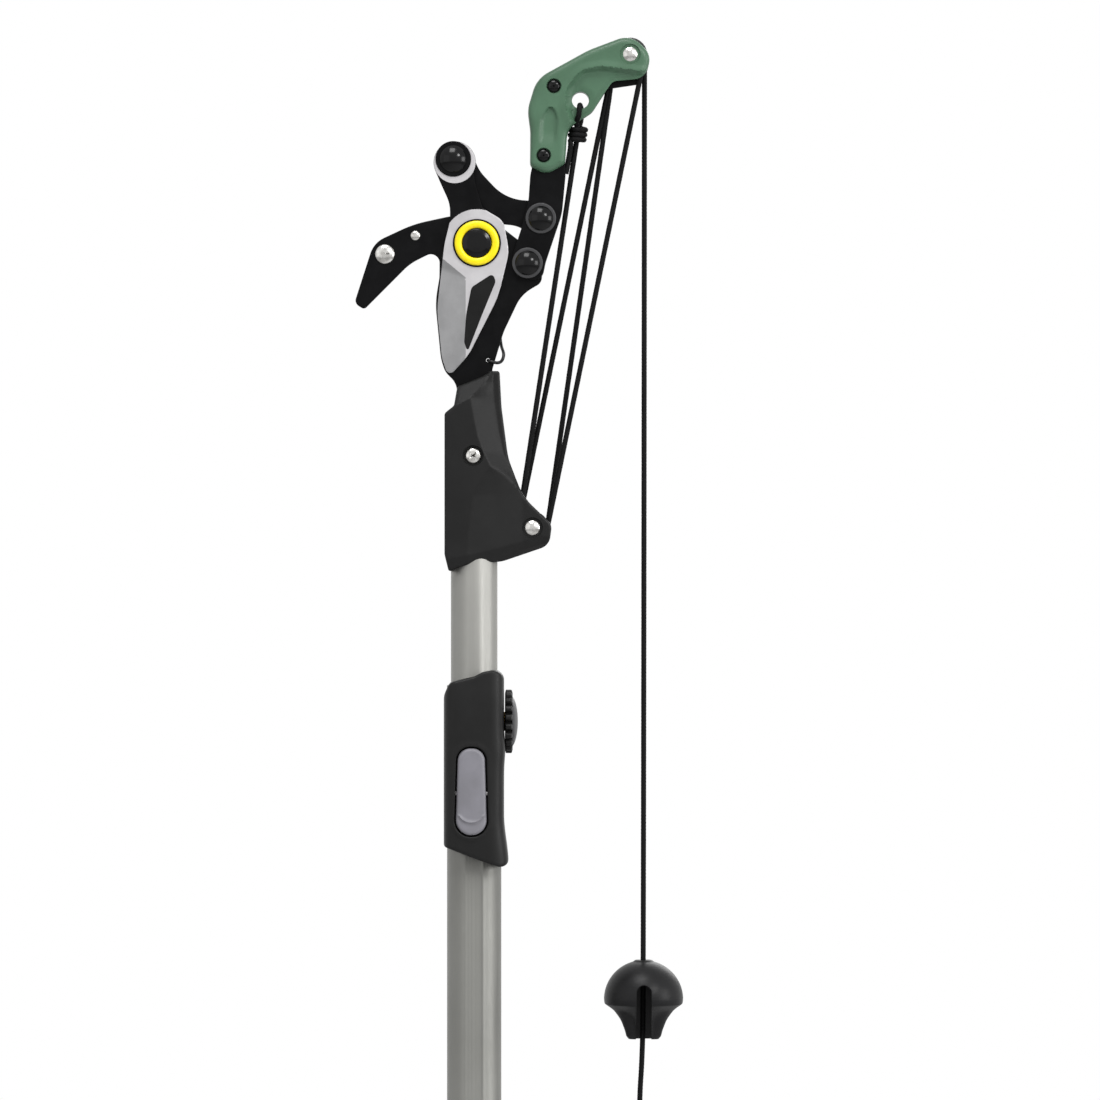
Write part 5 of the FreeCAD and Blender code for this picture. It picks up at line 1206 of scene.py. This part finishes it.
@dataclass
class SteelPlates:
    """Black plates of the head and lever, the link, and the blade with its coated arm."""

    def plate(self, name: str, corners: Sequence[Corner], y0: float, y1: float, body: str, node: str,
              edge: float = 0.45, holes: tuple = ()) -> None:
        """Flat plate between two Y planes with softened edges on both sides."""
        skin = Relief(rounded(from_main(corners)), -y1, flat_height(-y0), edge=edge, holes=holes, hole_edge=0.3,
                      grid=5.0)
        verts, faces = skin.shape(-1)
        place_piece(joined(name, "black_steel", soften_back((verts, faces), skin, y1)), body, "black_steel", node)

    def build(self) -> None:
        """Makes the plates."""
        tang = LOWER[1] + 39.5 - MAIN[1]
        self.plate("hook_plate", [
            (-17.0, 17.6, 30), (-41.0, 12.4, 80), (-66.5, 0.5, 17), (-79.1, -38.6, 4.2), (-72.7, -42.6, 2.6),
            (-43.2, -13.0, 35), (-24.0, -3.4, 8), (-24.2, -22.0, 20), (-26.9, -38.0, 60), (-23.2, -75.0, 40),
            (-20.4, -83.0, 12), (-12.9, -90.5, 12), (-13.0, -112.0, 2), (-12.0, tang, 2), (8.0, tang, 2),
            (10.0, -81.0, 3), (17.2, -57.0, 40), (28.6, -33.0, 30), (41.6, -25.4, 6), (42.4, -16.0, 7),
            (37.4, -5.6, 8), (29.0, 0.4, 6), (17.5, 9.2, 6), (7.0, 14.6, 8), (-8.0, 17.8, 20)], -2.0, 2.0, "head",
            "frame_plate", 0.7, (hole_line(SPRING_EYE, 1.3, 20),))
        self.plate("hook_doubler", [
            (-33.0, 11.5, 4), (-46.0, 7.4, 60), (-64.5, -1.5, 14), (-75.6, -35.5, 3), (-70.0, -37.5, 2),
            (-45.5, -12.6, 30), (-31.0, -5.0, 4)], 2.0, 4.5, "head", "hook_backing")
        self.plate("link_plate", [
            (-15.2, 65.0, 8), (-4.8, 60.5, 10), (2.2, 46.0, 24), (18.5, 28.6, 36), (42.0, 27.0, 8), (51.6, 20.0, 8),
            (48.5, 7.0, 8), (35.0, 6.6, 8), (25.0, 11.6, 20), (13.5, 12.6, 18), (-6.0, 33.5, 30), (-25.6, 43.0, 8),
            (-27.0, 60.0, 9)], -2.0, 2.0, "link", "link_bar")
        lever = [
            (23.0, -8.0, 4), (28.6, 9.5, 30), (33.2, 27.0, 30), (34.4, 44.0, 20), (36.2, 52.0, 10), (36.8, 92.0, 8),
            (42.0, 105.0, 6), (49.0, 108.5, 8), (57.6, 101.0, 8), (55.0, 84.0, 10), (56.0, 66.0, 20),
            (57.2, 44.0, 30), (54.8, 19.0, 40), (44.4, -12.0, 12), (42.0, -23.4, 7), (31.0, -24.2, 9)]
        tail = [(22.0, -20.5, 5), (13.0, -19.5, 4), (13.0, -9.5, 4)]
        self.plate("lever_side_front", lever, -5.35, -2.15, "lever", "lever_plate_front")
        self.plate("lever_side_back", lever + tail, 2.15, 5.35, "lever", "lever_plate_back", 0.45,
                   (hole_line(SPRING_POST, 1.3, 20),))
        self.blade()

    def blade(self) -> None:
        """Blade: bright hub, ground bevel with painted shade, black-coated arm and a bright eye."""
        eye = (-14.3, 52.0)
        ring = [(eye[0] + 13.6 * math.cos(math.radians(a)), eye[1] + 13.6 * math.sin(math.radians(a)), 0.0)
                for a in range(200, -31, -6)]
        corners = [(-21.0, -1.0, 60), (-17.4, 14.0, 12), (-17.2, 25.0, 30), (-24.0, 40.0, 8), *ring,
                   (-1.0, 38.0, 10), (3.6, 22.5, 26), (8.6, 19.6, 5), (17.2, 14.6, 14), (20.8, -6.0, 26),
                   (13.6, -35.0, 70), (-5.5, -72.5, 40), (-18.4, -86.6, 3.2), (-22.6, -74.0, 24),
                   (-25.8, -43.0, 60)]
        outline = rounded(from_main(corners), step=1.0)
        start, end = np.array((-21.7, -10.2)), np.array((-6.4, -22.8))
        way = (end - start) / np.linalg.norm(end - start)
        down = np.array((way[1], -way[0]))

        def drops(flat: np.ndarray) -> np.ndarray:
            near = flat - np.array(MAIN)
            grind = np.clip((-7.2 - near[:, 0]) / 19.8 * 2.7, 0, 2.6)
            run = np.clip(((near - start) @ down) / 7.0 * 2.7, 0, 9)
            return np.minimum(grind, run)

        def heights(flat: np.ndarray) -> np.ndarray:
            return 5.35 - drops(flat)

        hub = hole_line(MAIN, 22.0, 150)
        hub_in = hole_line(MAIN, 21.7, 150)
        eye_ring = hole_line((MAIN[0] + eye[0], MAIN[1] + eye[1]), 13.4, 90)
        top = tuple(MAIN + start)
        turn = tuple(MAIN + end)
        ridge = [(MAIN[0] - 7.2, MAIN[1] + z) for z in np.arange(-24.0, -84.0, -0.8)]
        lip = rounded([(*top, 0), (*turn, 0)], False, 0.8)
        skin = Relief(outline, 2.15, heights, edge=0.35, grid=1.6, creases=(hub, hub_in, eye_ring, ridge, lip))
        piece = joined("cutting_blade", "bright_steel", skin.shape(-1), smooth_deg=14.0)
        mesh = piece.data
        # the third slot is the bevel's steel with painted shade
        for slot in ("black_steel", "blade_bevel_painted_shade"):
            mesh.materials.append(MATERIALS[slot])
        eye_at = np.array(MAIN) + np.array(eye)
        for face in mesh.polygons:
            x, z = face.center.x / MM, face.center.z / MM
            flat = np.array([[x, z]])
            if z > MAIN[1] and math.dist((x, z), MAIN) > 21.85 and math.dist((x, z), eye_at) > 13.4:
                face.material_index = 1
            # faces of the ground bevel take the darker steel: painted shade of the tilted bevel
            elif drops(flat)[0] > 0.03:
                face.material_index = 2
        place_piece(piece, "blade", "bright_steel", "blade")


def soften_back(shape: Shape, skin: Relief, level: float) -> Shape:
    """Rounds the rear face's edges of a plate as its front's.

    Args:
        shape: the plate's corners and faces.
        skin: the relief that made it.
        level: Y of its rear face.

    Returns:
        The corners and faces, with the rear corners moved.
    """
    verts, faces = shape
    half = len(verts) // 2
    flat = np.array([(x, z) for x, _, z in verts[half:]])
    drop = skin.rounding(flat, skin.outline, skin.edge)
    return verts[:half] + [(x, level - d, z) for (x, _, z), d in zip(verts[half:], drop)], faces


@dataclass
class PinsAndRings:
    """Domed pins, washers, the yellow pivot ring, the pivot bolt, rivets and axles."""

    fasteners: FastenerTree

    def round_piece(self, name: str, body: str, slot: str, node: str, *shapes: tuple, smooth: float = 40.0) -> None:
        """Places one piece made of turned shapes."""
        place_piece(joined(name, slot, *shapes, smooth_deg=smooth), body, slot, node)

    def build(self) -> None:
        """Makes every round fastener that shows."""
        face = -6.55
        for name, node, tone, spot, body, radius, height, rear, ring in (
                ("lever_pin_head", "lever_pin", "ring_dark", LEVER_PIN, "head", 7.9, 4.2, (5.5, 7.5, 7.9), 9.9),
                ("link_pin_head", "link_pin_lever", "ring_dark", LINK_PIN, "lever", 7.9, 4.2, (5.35, 7.35, 7.9), 9.9),
                ("blade_pin_head", "link_pin_blade", "black_steel", BLADE_PIN, "blade", 8.6, 4.4, (2.15, 4.15, 9.4),
                 11.5)):
            centre = (spot[0], 0.0, spot[1])
            dome = turned(dome_profile(radius, height - 0.6, face, 0.6), centre, "y")
            shank = turned([(0.0, face, 0), (4.0, face, 0), (4.0, rear[0], 0), (0.0, rear[0], 0)], centre, "y", 24, 4.0)
            back = turned([(0.0, rear[0], 0), (rear[2], rear[0], 0.2), (rear[2], rear[1], 0.6), (0.0, rear[1], 0)],
                          centre, "y", 48)
            self.round_piece(name, body, "dome_black", node, dome, shank, back)
            washer = turned([(4.2, face, 0.1), (ring, face, 0.55), (ring, face + 1.2, 0.15), (4.2, face + 1.2, 0.1)],
                            centre, "y", 72, 0.35)
            self.round_piece(node + "_washer_ring", body, tone, node + "_washer", washer)
        pivot = (MAIN[0], 0.0, MAIN[1])
        self.round_piece("pivot_rim", "head", "black_steel", "pivot_washer", turned(
            [(6.2, -6.7, 0.1), (15.5, -6.7, 0.4), (15.5, -5.5, 0.2), (6.2, -5.5, 0.1)], pivot, "y", 96, 0.4))
        ring = [(12.0 + 2.4 * math.cos(t), -6.75 - 1.45 * math.sin(t), 0.0)
                for t in np.linspace(0.0, math.pi, 15)] + [(9.6, -6.7, 0.0), (14.4, -6.7, 0.0)]
        self.round_piece("pivot_yellow_ring", "head", "ring_yellow", "pivot_ring",
                         turned(ring, pivot, "y", 96, 0.9))
        bolt = turned([(0.0, -9.2, 0), (3.0, -9.1, 2), (6.6, -8.6, 3), (9.2, -7.7, 0.8), (9.45, -6.72, 0.1),
                       (0.0, -6.72, 0)], pivot, "y", 72)
        shank = turned([(0.0, -6.7, 0), (6.0, -6.7, 0), (6.0, 9.0, 0.6), (0.0, 9.0, 0)], pivot, "y", 48)
        self.round_piece("pivot_bolt_head", "head", "dome_black", "pivot_bolt", bolt, shank)
        self.rivets()
        for name, spot, body, node in (("lower_axle_ends", LOWER, "head", "lower_axle"),
                                       ("upper_axle_ends", UPPER, "lever", "upper_axle")):
            centre = (spot[0], 0.0, spot[1])
            front = turned(dome_profile(4.9, 1.6, -8.6, 0.4), centre, "y", 48)
            shank = turned([(0.0, -8.6, 0), (2.95, -8.6, 0), (2.95, 9.2, 0), (0.0, 9.2, 0)], centre, "y", 32, 3.0)
            rear = turned([(0.0, 9.2, 0), (5.2, 9.2, 0.1), (5.0, 10.8, 0.7), (0.0, 10.8, 0)], centre, "y", 48)
            self.round_piece(name, body, "polished_steel", node, front, shank, rear)

    def rivets(self) -> None:
        """Two rivets of the hook, heads in front and flat tails behind."""
        spots = ((MAIN[0] - 59.3, MAIN[1] - 7.0, 6.45, 2.6), (MAIN[0] - 39.7, MAIN[1] + 5.0, 3.2, 1.4))
        for number, (x, z, radius, height) in enumerate(spots, 1):
            head = self.fasteners.set(f"rivet_head_{number}", [(x, -2.0, z)], "polished_steel", head_radius=radius,
                                      head_height=height)
            place_piece(head, "head", "polished_steel", "hook_rivets")
            tail = self.fasteners.set(f"rivet_tail_{number}", [(x, 4.5, z)], "polished_steel", rear=True,
                                      head_radius=radius * 0.8, head_height=1.4)
            place_piece(tail, "head", "polished_steel", "hook_rivets")


@dataclass
class LockHousing:
    """Black sleeve at the tubes' joint with its flared skirt, grey button and fluted side knob."""

    half: float = 19.3
    face: float = 29.0
    corner: float = 9.0
    cut: float = 18.0

    def outline(self) -> list[Point]:
        """Front outline before the skirt flares."""
        top = TUBE_TOP
        return rounded([
            (-19.3, top - 99.9, 2.5), (-19.3, top - 3.0, 12), (-15.6, top + 5.2, 5), (-4.0, top + 8.2, 6),
            (0.5, top + 9.2, 5), (5.5, top + 12.0, 8), (14.0, top + 13.6, 8), (19.3, top + 9.6, 6),
            (19.3, top - 114.6, 4.0)], step=1.2)

    def button_line(self, grow: float) -> list[Point]:
        """Outline of the button, grown by a gap."""
        x, z = BUTTON
        high, low = 8.5 + grow, 10.2 + grow
        return rounded([(x - high, z + 29.0 + grow, high * 0.95), (x + high, z + 29.0 + grow, high * 0.95),
                        (x + low, z - 26.6 - grow, low * 0.95), (x - low, z - 26.6 - grow, low * 0.95)], step=1.0)

    def heights(self, flat: np.ndarray) -> np.ndarray:
        """Face with round corners and a low lip round the button."""
        x = flat[:, 0]
        over = np.clip(np.abs(x) - (self.half - self.corner), 0, self.corner)
        height = self.face - (self.corner - np.sqrt(self.corner ** 2 - over ** 2))
        gap = distance_to(flat, self.button_line(1.0))
        return height + 0.5 * (1 - soft(gap, 1.0, 3.4)) - 1.2 * soft(flat[:, 1], TUBE_TOP - 6, TUBE_TOP + 14)

    def flared(self, shape: Shape) -> Shape:
        """Widens the skirt's lower right side."""
        verts, faces = shape
        out = []
        for x, y, z in verts:
            drop = float(soft(np.array(TUBE_TOP - z), 80.0, 112.0))
            bulge = 0.8 * math.exp(-((TUBE_TOP - z - 38.0) / 9.0) ** 2)
            out.append((x + (2.9 * drop + bulge) * max(0.0, x / self.half) ** 2, y, z))
        return out, faces

    def build(self, flutes: FluteTree) -> None:
        """Makes the sleeve, the button and the knob."""
        skin = Relief(self.outline(), self.cut, self.heights, edge=1.6, holes=(self.button_line(1.0),), hole_edge=0.9,
                      grid=1.7)
        sleeve = joined("lock_sleeve", "black_moulding", self.flared(skin.shape(-1)),
                        self.flared(self.rear_part()), smooth_deg=38.0)
        place_piece(sleeve, "lower_pole", "black_moulding", "lock_housing")
        self.button()
        self.knob(flutes)

    def rear_part(self) -> Shape:
        """CAD sleeve behind the front skin, trimmed to the rounded outline, with loops for the flare."""
        mesh = frame["nodes"]["lock_housing"].data.copy()
        sleeve = dressed(bpy.data.objects.new("sleeve_rear", mesh), "black_moulding")
        prism = Relief(self.outline(), -30.0, flat_height(self.cut), edge=0.0, grid=6.0).shape(-1)
        trimmer = joined("sleeve_trimmer", "black_moulding", prism)
        trim = sleeve.modifiers.new("trim", "BOOLEAN")
        trim.operation = "INTERSECT"
        trim.object = trimmer
        trim.solver = "EXACT"
        made = baked("sleeve_trimmed", sleeve, "black_moulding")
        bpy.data.objects.remove(trimmer, do_unlink=True)
        work = bmesh.new()
        work.from_mesh(made.data)
        bpy.data.objects.remove(made, do_unlink=True)
        for drop in range(10, 116, 4):
            everything = work.verts[:] + work.edges[:] + work.faces[:]
            bmesh.ops.bisect_plane(work, geom=everything, plane_co=(0, 0, (TUBE_TOP - drop) * MM), plane_no=(0, 0, 1))
        return unpacked(work)

    def button(self) -> None:
        """Grey button with rounded edges and the raised curved thumb ridge."""
        x, z = BUTTON
        centre = (x, z - 26.6 + 10.8 + 6.5)

        def heights(flat: np.ndarray) -> np.ndarray:
            away = gap_to(flat, centre)
            low = soft(centre[1] - flat[:, 1], 3.6, 5.4)
            crown = 0.006 * (flat[:, 0] - x) ** 2
            dish = 0.5 * np.exp(-((flat[:, 1] - centre[1]) / 9.0) ** 2)
            return 30.4 - crown - dish + 1.15 * low * np.exp(-((away - 9.0) / 0.7) ** 2)

        rings = tuple(hole_line(centre, r, 90) for r in (8.0, 8.5, 8.8, 9.1, 9.4, 9.8))
        skin = Relief(self.button_line(0.0), 22.6, heights, edge=1.9, grid=1.5, creases=rings)
        place_piece(joined("release_button", "button_grey", skin.shape(-1), smooth_deg=50.0), "rocker",
                    "button_grey", "rocker_button")

    def knob(self, flutes: FluteTree) -> None:
        """Fluted rim and domed cap of the side clamp."""
        z = TUBE_TOP - 20.2
        centre = (0.0, 0.0, z)
        rim = turned([(10.0, 20.2, 0.3), (18.2, 19.9, 0.4), (20.6, 20.4, 0.7), (20.6, 24.2, 0.7), (18.4, 24.8, 0.4),
                      (3.0, 24.8, 0), (3.0, 23.5, 0), (10.0, 23.5, 0.3)], centre, "x", 320, 0.55)
        base = joined("clamp_wheel", "black_moulding", rim)
        wheel = flutes.press(base, "black_moulding", centre, "x", count=20.0, depth=0.15, sharpness=2.4,
                             from_radius=18.6 * MM, fade_start=-1.0, fade_end=-0.5)
        place_piece(wheel, "clamp_knob", "black_moulding", "clamp_knob")
        cap = [(17.2 * math.sin(t), 24.8 + 3.4 * (math.cos(t) - math.cos(1.2)) / (1 - math.cos(1.2)), 0.0)
               for t in np.linspace(0.0, 1.2, 14)]
        edge = cap[-1][0]
        cap += [(edge, 24.5, 0.0), (0.0, 24.5, 0.0)]
        place_piece(joined("clamp_cap", "knob_cap", turned(cap, centre, "x", 72)), "clamp_knob", "knob_cap",
                    "knob_cap")


@dataclass
class RopeFittings:
    """Ball grip, hank tie and stopper knot that go with the free rope."""

    braid: BraidedRope
    low: float = 1074.9

    def ball(self, flutes: FluteTree) -> bpy.types.Object:
        """Ball grip: crown, waist with scallops, front slot and bore."""
        low, y = self.low, SHEAVE_Y
        profile = [(0.0, low + 50.6, 0), (5.2, low + 50.9, 1.5)]
        for k in range(15):
            angle = math.radians(74 - 72 * k / 14)
            profile.append((25.6 * math.cos(angle), low + 25.4 + 25.6 * math.sin(angle) * 0.985, 0))
        profile += [(25.3, low + 22.6, 1.4), (20.9, low + 18.8, 9), (16.2, low + 12.4, 20), (13.4, low + 5.6, 14),
                    (12.4, low + 2.0, 2), (10.6, low, 1.0), (0.0, low, 0)]
        base = joined("ball_grip_turned", "ball_grey", turned(profile, (BALL_X, y, 0.0), "z", 144, 0.9))
        ball = flutes.press(base, "ball_grey", (BALL_X, y, low), "z", count=6.0, depth=0.2, sharpness=1.2,
                            from_radius=0.0, fade_start=24.0 * MM, fade_end=13.0 * MM)
        line = rounded([(BALL_X + x, z, r) for x, z, r in (
            (-5.0, low - 3.0, 0), (-4.7, low + 35.9, 4.65), (4.7, low + 35.9, 4.65), (5.0, low - 3.0, 0))], step=1.0)
        cutter = joined("slot_cutter", "ball_grey", Relief(line, -y, flat_height(40.0), edge=0.0, grid=4.0).shape(-1),
                        smooth_deg=30.0)
        cut = ball.modifiers.new("slot", "BOOLEAN")
        cut.operation = "DIFFERENCE"
        cut.object = cutter
        cut.solver = "EXACT"
        soften = ball.modifiers.new("soften", "BEVEL")
        soften.width = 0.9 * MM
        soften.segments = 3
        soften.limit_method = "ANGLE"
        soften.angle_limit = math.radians(48)
        made = baked("ball_grip", ball, "ball_grey", 40.0)
        bpy.data.objects.remove(cutter, do_unlink=True)
        return place_piece(made, "ball_handle", "ball_grey", "ball_handle")

    def tie(self, middle: float, level: float, out: float) -> bpy.types.Object:
        """Rubber band round the hank, with two raised edges."""
        half = out - 3.0 + ROPE_R + TIE_GAP
        front, back = SHEAVE_Y - ROPE_R - TIE_GAP, SHEAVE_Y + HANK_LAYER + ROPE_R + TIE_GAP
        radius = ROPE_R + TIE_GAP
        path = rounded([(middle - half, front, radius), (middle + half, front, radius),
                        (middle + half, back, radius), (middle - half, back, radius)], step=1.2)
        profile = [(0.0, -4.5), (0.9, -4.5), (1.2, -4.1), (1.2, -3.3), (0.9, -2.9), (0.9, 2.9), (1.2, 3.3),
                   (1.2, 4.1), (0.9, 4.5), (0.0, 4.5)]
        count, rows = len(path), len(profile)
        points = np.array(path)
        run = np.roll(points, -1, axis=0) - np.roll(points, 1, axis=0)
        run /= np.linalg.norm(run, axis=1, keepdims=True)
        normal = np.stack([run[:, 1], -run[:, 0]], axis=1)
        verts = [(p[0] + n[0] * u, p[1] + n[1] * u, level + w) for p, n in zip(points, normal) for u, w in profile]
        faces = [(i * rows + k, i * rows + (k + 1) % rows, ((i + 1) % count) * rows + (k + 1) % rows,
                  ((i + 1) % count) * rows + k) for i in range(count) for k in range(rows)]
        return place_piece(joined("hank_band", "tie_rubber", (verts, faces)), "rope_fall", "tie_rubber", "hank_tie")

    def end_knot(self, end: Corner) -> bpy.types.Object:
        """Small stopper knot in the rope's end."""
        turns = [(2.1 * math.cos(a), 2.1 * math.sin(a), 1.2 - 3.6 * k / 9) for k, a in
                 enumerate(math.radians(75 * s) for s in range(10))]
        route = [(end[0], end[1], end[2] + 0.6), (end[0] + 0.6, end[1], end[2] - 1.0)]
        route += [(end[0] + x, end[1] + y, end[2] - 2.6 + z) for x, y, z in turns]
        route.append((end[0] + 0.4, end[1], end[2] - 5.6))
        knot = self.braid.make("stopper_knot", nurbs_route("stopper_line", route), 0.6)
        return place_piece(knot, "rope_fall", "rope_black", "rope_end_knot")


@dataclass
class Springs:
    """Return spring behind the head and the small spring under the button."""

    def coil(self, x: float, y: float, top: float, radius: float, pitch: float, turns: int) -> list[Corner]:
        """Helix about an upright line, downwards."""
        steps = 18
        return [(x + radius * math.cos(2 * math.pi * k / steps), y + radius * math.sin(2 * math.pi * k / steps),
                 top - pitch * k / steps) for k in range(turns * steps + 1)]

    def build(self) -> None:
        """Makes both springs."""
        post, hook = SPRING_POST, SPRING_EYE
        radius, y = 4.2, 2.0 + 0.6 + 5.1
        axis = post[0] - 5.5
        top = post[1] - 7.0
        turns = self.coil(axis, y, top, radius, 2.4, 13)
        low = turns[-1][2]
        lead = line_of_points([(post[0], 2.65, post[1]), (post[0], y - 1.0, post[1]), (post[0], y, post[1] - 1.0),
                               (axis + radius, y, post[1] - 3.6), (axis + radius, y, top)])
        tail = line_of_points([(axis + radius, y, low), (axis + radius - 2.0, y, low - 4.0),
                               (hook[0] + 8.2, y - 1.5, hook[1] + 9.8), (hook[0] + 10.8, -3.2, hook[1] + 3.4),
                               (hook[0] + 8.0, -3.2, hook[1] - 2.6), (hook[0] - 0.2, -3.2, hook[1] - 0.2),
                               (hook[0], 1.4, hook[1])])
        spring = wire("pull_spring", lead[:-1] + turns + tail[1:], 1.05, "spring_wire")
        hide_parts("return_spring")
        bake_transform(spring)
        button = [(-1.5 + 2.45 * math.cos(2 * math.pi * k / 18), -27.15 + 1.9 * k / 18,
                   TUBE_TOP - 84.0 + 2.45 * math.sin(2 * math.pi * k / 18)) for k in range(4 * 18 + 1)]
        small = wire("button_spring", button, 0.35, "spring_wire")
        place_piece(small, "lower_pole", "spring_wire", "rocker_spring")
        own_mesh(small)


def line_of_points(points: Sequence[Corner]) -> list[Corner]:
    """Smooth line near bend points, in millimetres."""
    route = nurbs_route("bend_line", points)
    line = [tuple(c / MM for c in p) for p in line_of(route)]
    bpy.data.objects.remove(route, do_unlink=True)
    return line


def dress_frame() -> None:
    """Gives every CAD node that stays shown its finish and softened edges."""
    slots = {part["node"]: part["material_slot"] for part in frame["record"]["subparts"]}
    for name, node in frame["nodes"].items():
        if node.hide_render:
            continue
        slot = {"outer_tube": "lower_tube"}.get(name, slots.get(name, "black_moulding"))
        node.data.materials.clear()
        node.data.materials.append(MATERIALS.get(slot, MATERIALS["black_moulding"]))
        weld = node.modifiers.new("weld", "WELD")
        weld.merge_threshold = 2e-6
        flat = node.modifiers.new("flat", "DECIMATE")
        flat.decimate_type = "DISSOLVE"
        flat.angle_limit = math.radians(0.6)
        bevel = node.modifiers.new("bevel", "BEVEL")
        bevel.width = 0.35 * MM
        bevel.segments = 2
        bevel.limit_method = "ANGLE"
        bevel.angle_limit = math.radians(38)
        bevel.harden_normals = True


def main() -> None:
    """Builds the studio, then the pieces."""
    logging.basicConfig(level=logging.INFO, format="%(message)s", stream=sys.stdout)
    Stage().build()
    braid, flutes, fasteners = BraidedRope(), FluteTree(), FastenerTree()
    ropes = TackleRope(braid)
    ropes.build()
    SteelPlates().build()
    HeadHousing().build(fasteners)
    ArmCovers().build(fasteners)
    PinsAndRings(fasteners).build()
    LockHousing().build(flutes)
    Springs().build()
    fittings = RopeFittings(braid)
    fittings.ball(flutes)
    fittings.tie(*ropes.tie_place)
    fittings.end_knot(ropes.rope_end)
    dress_frame()


if __name__ == "__main__":
    main()
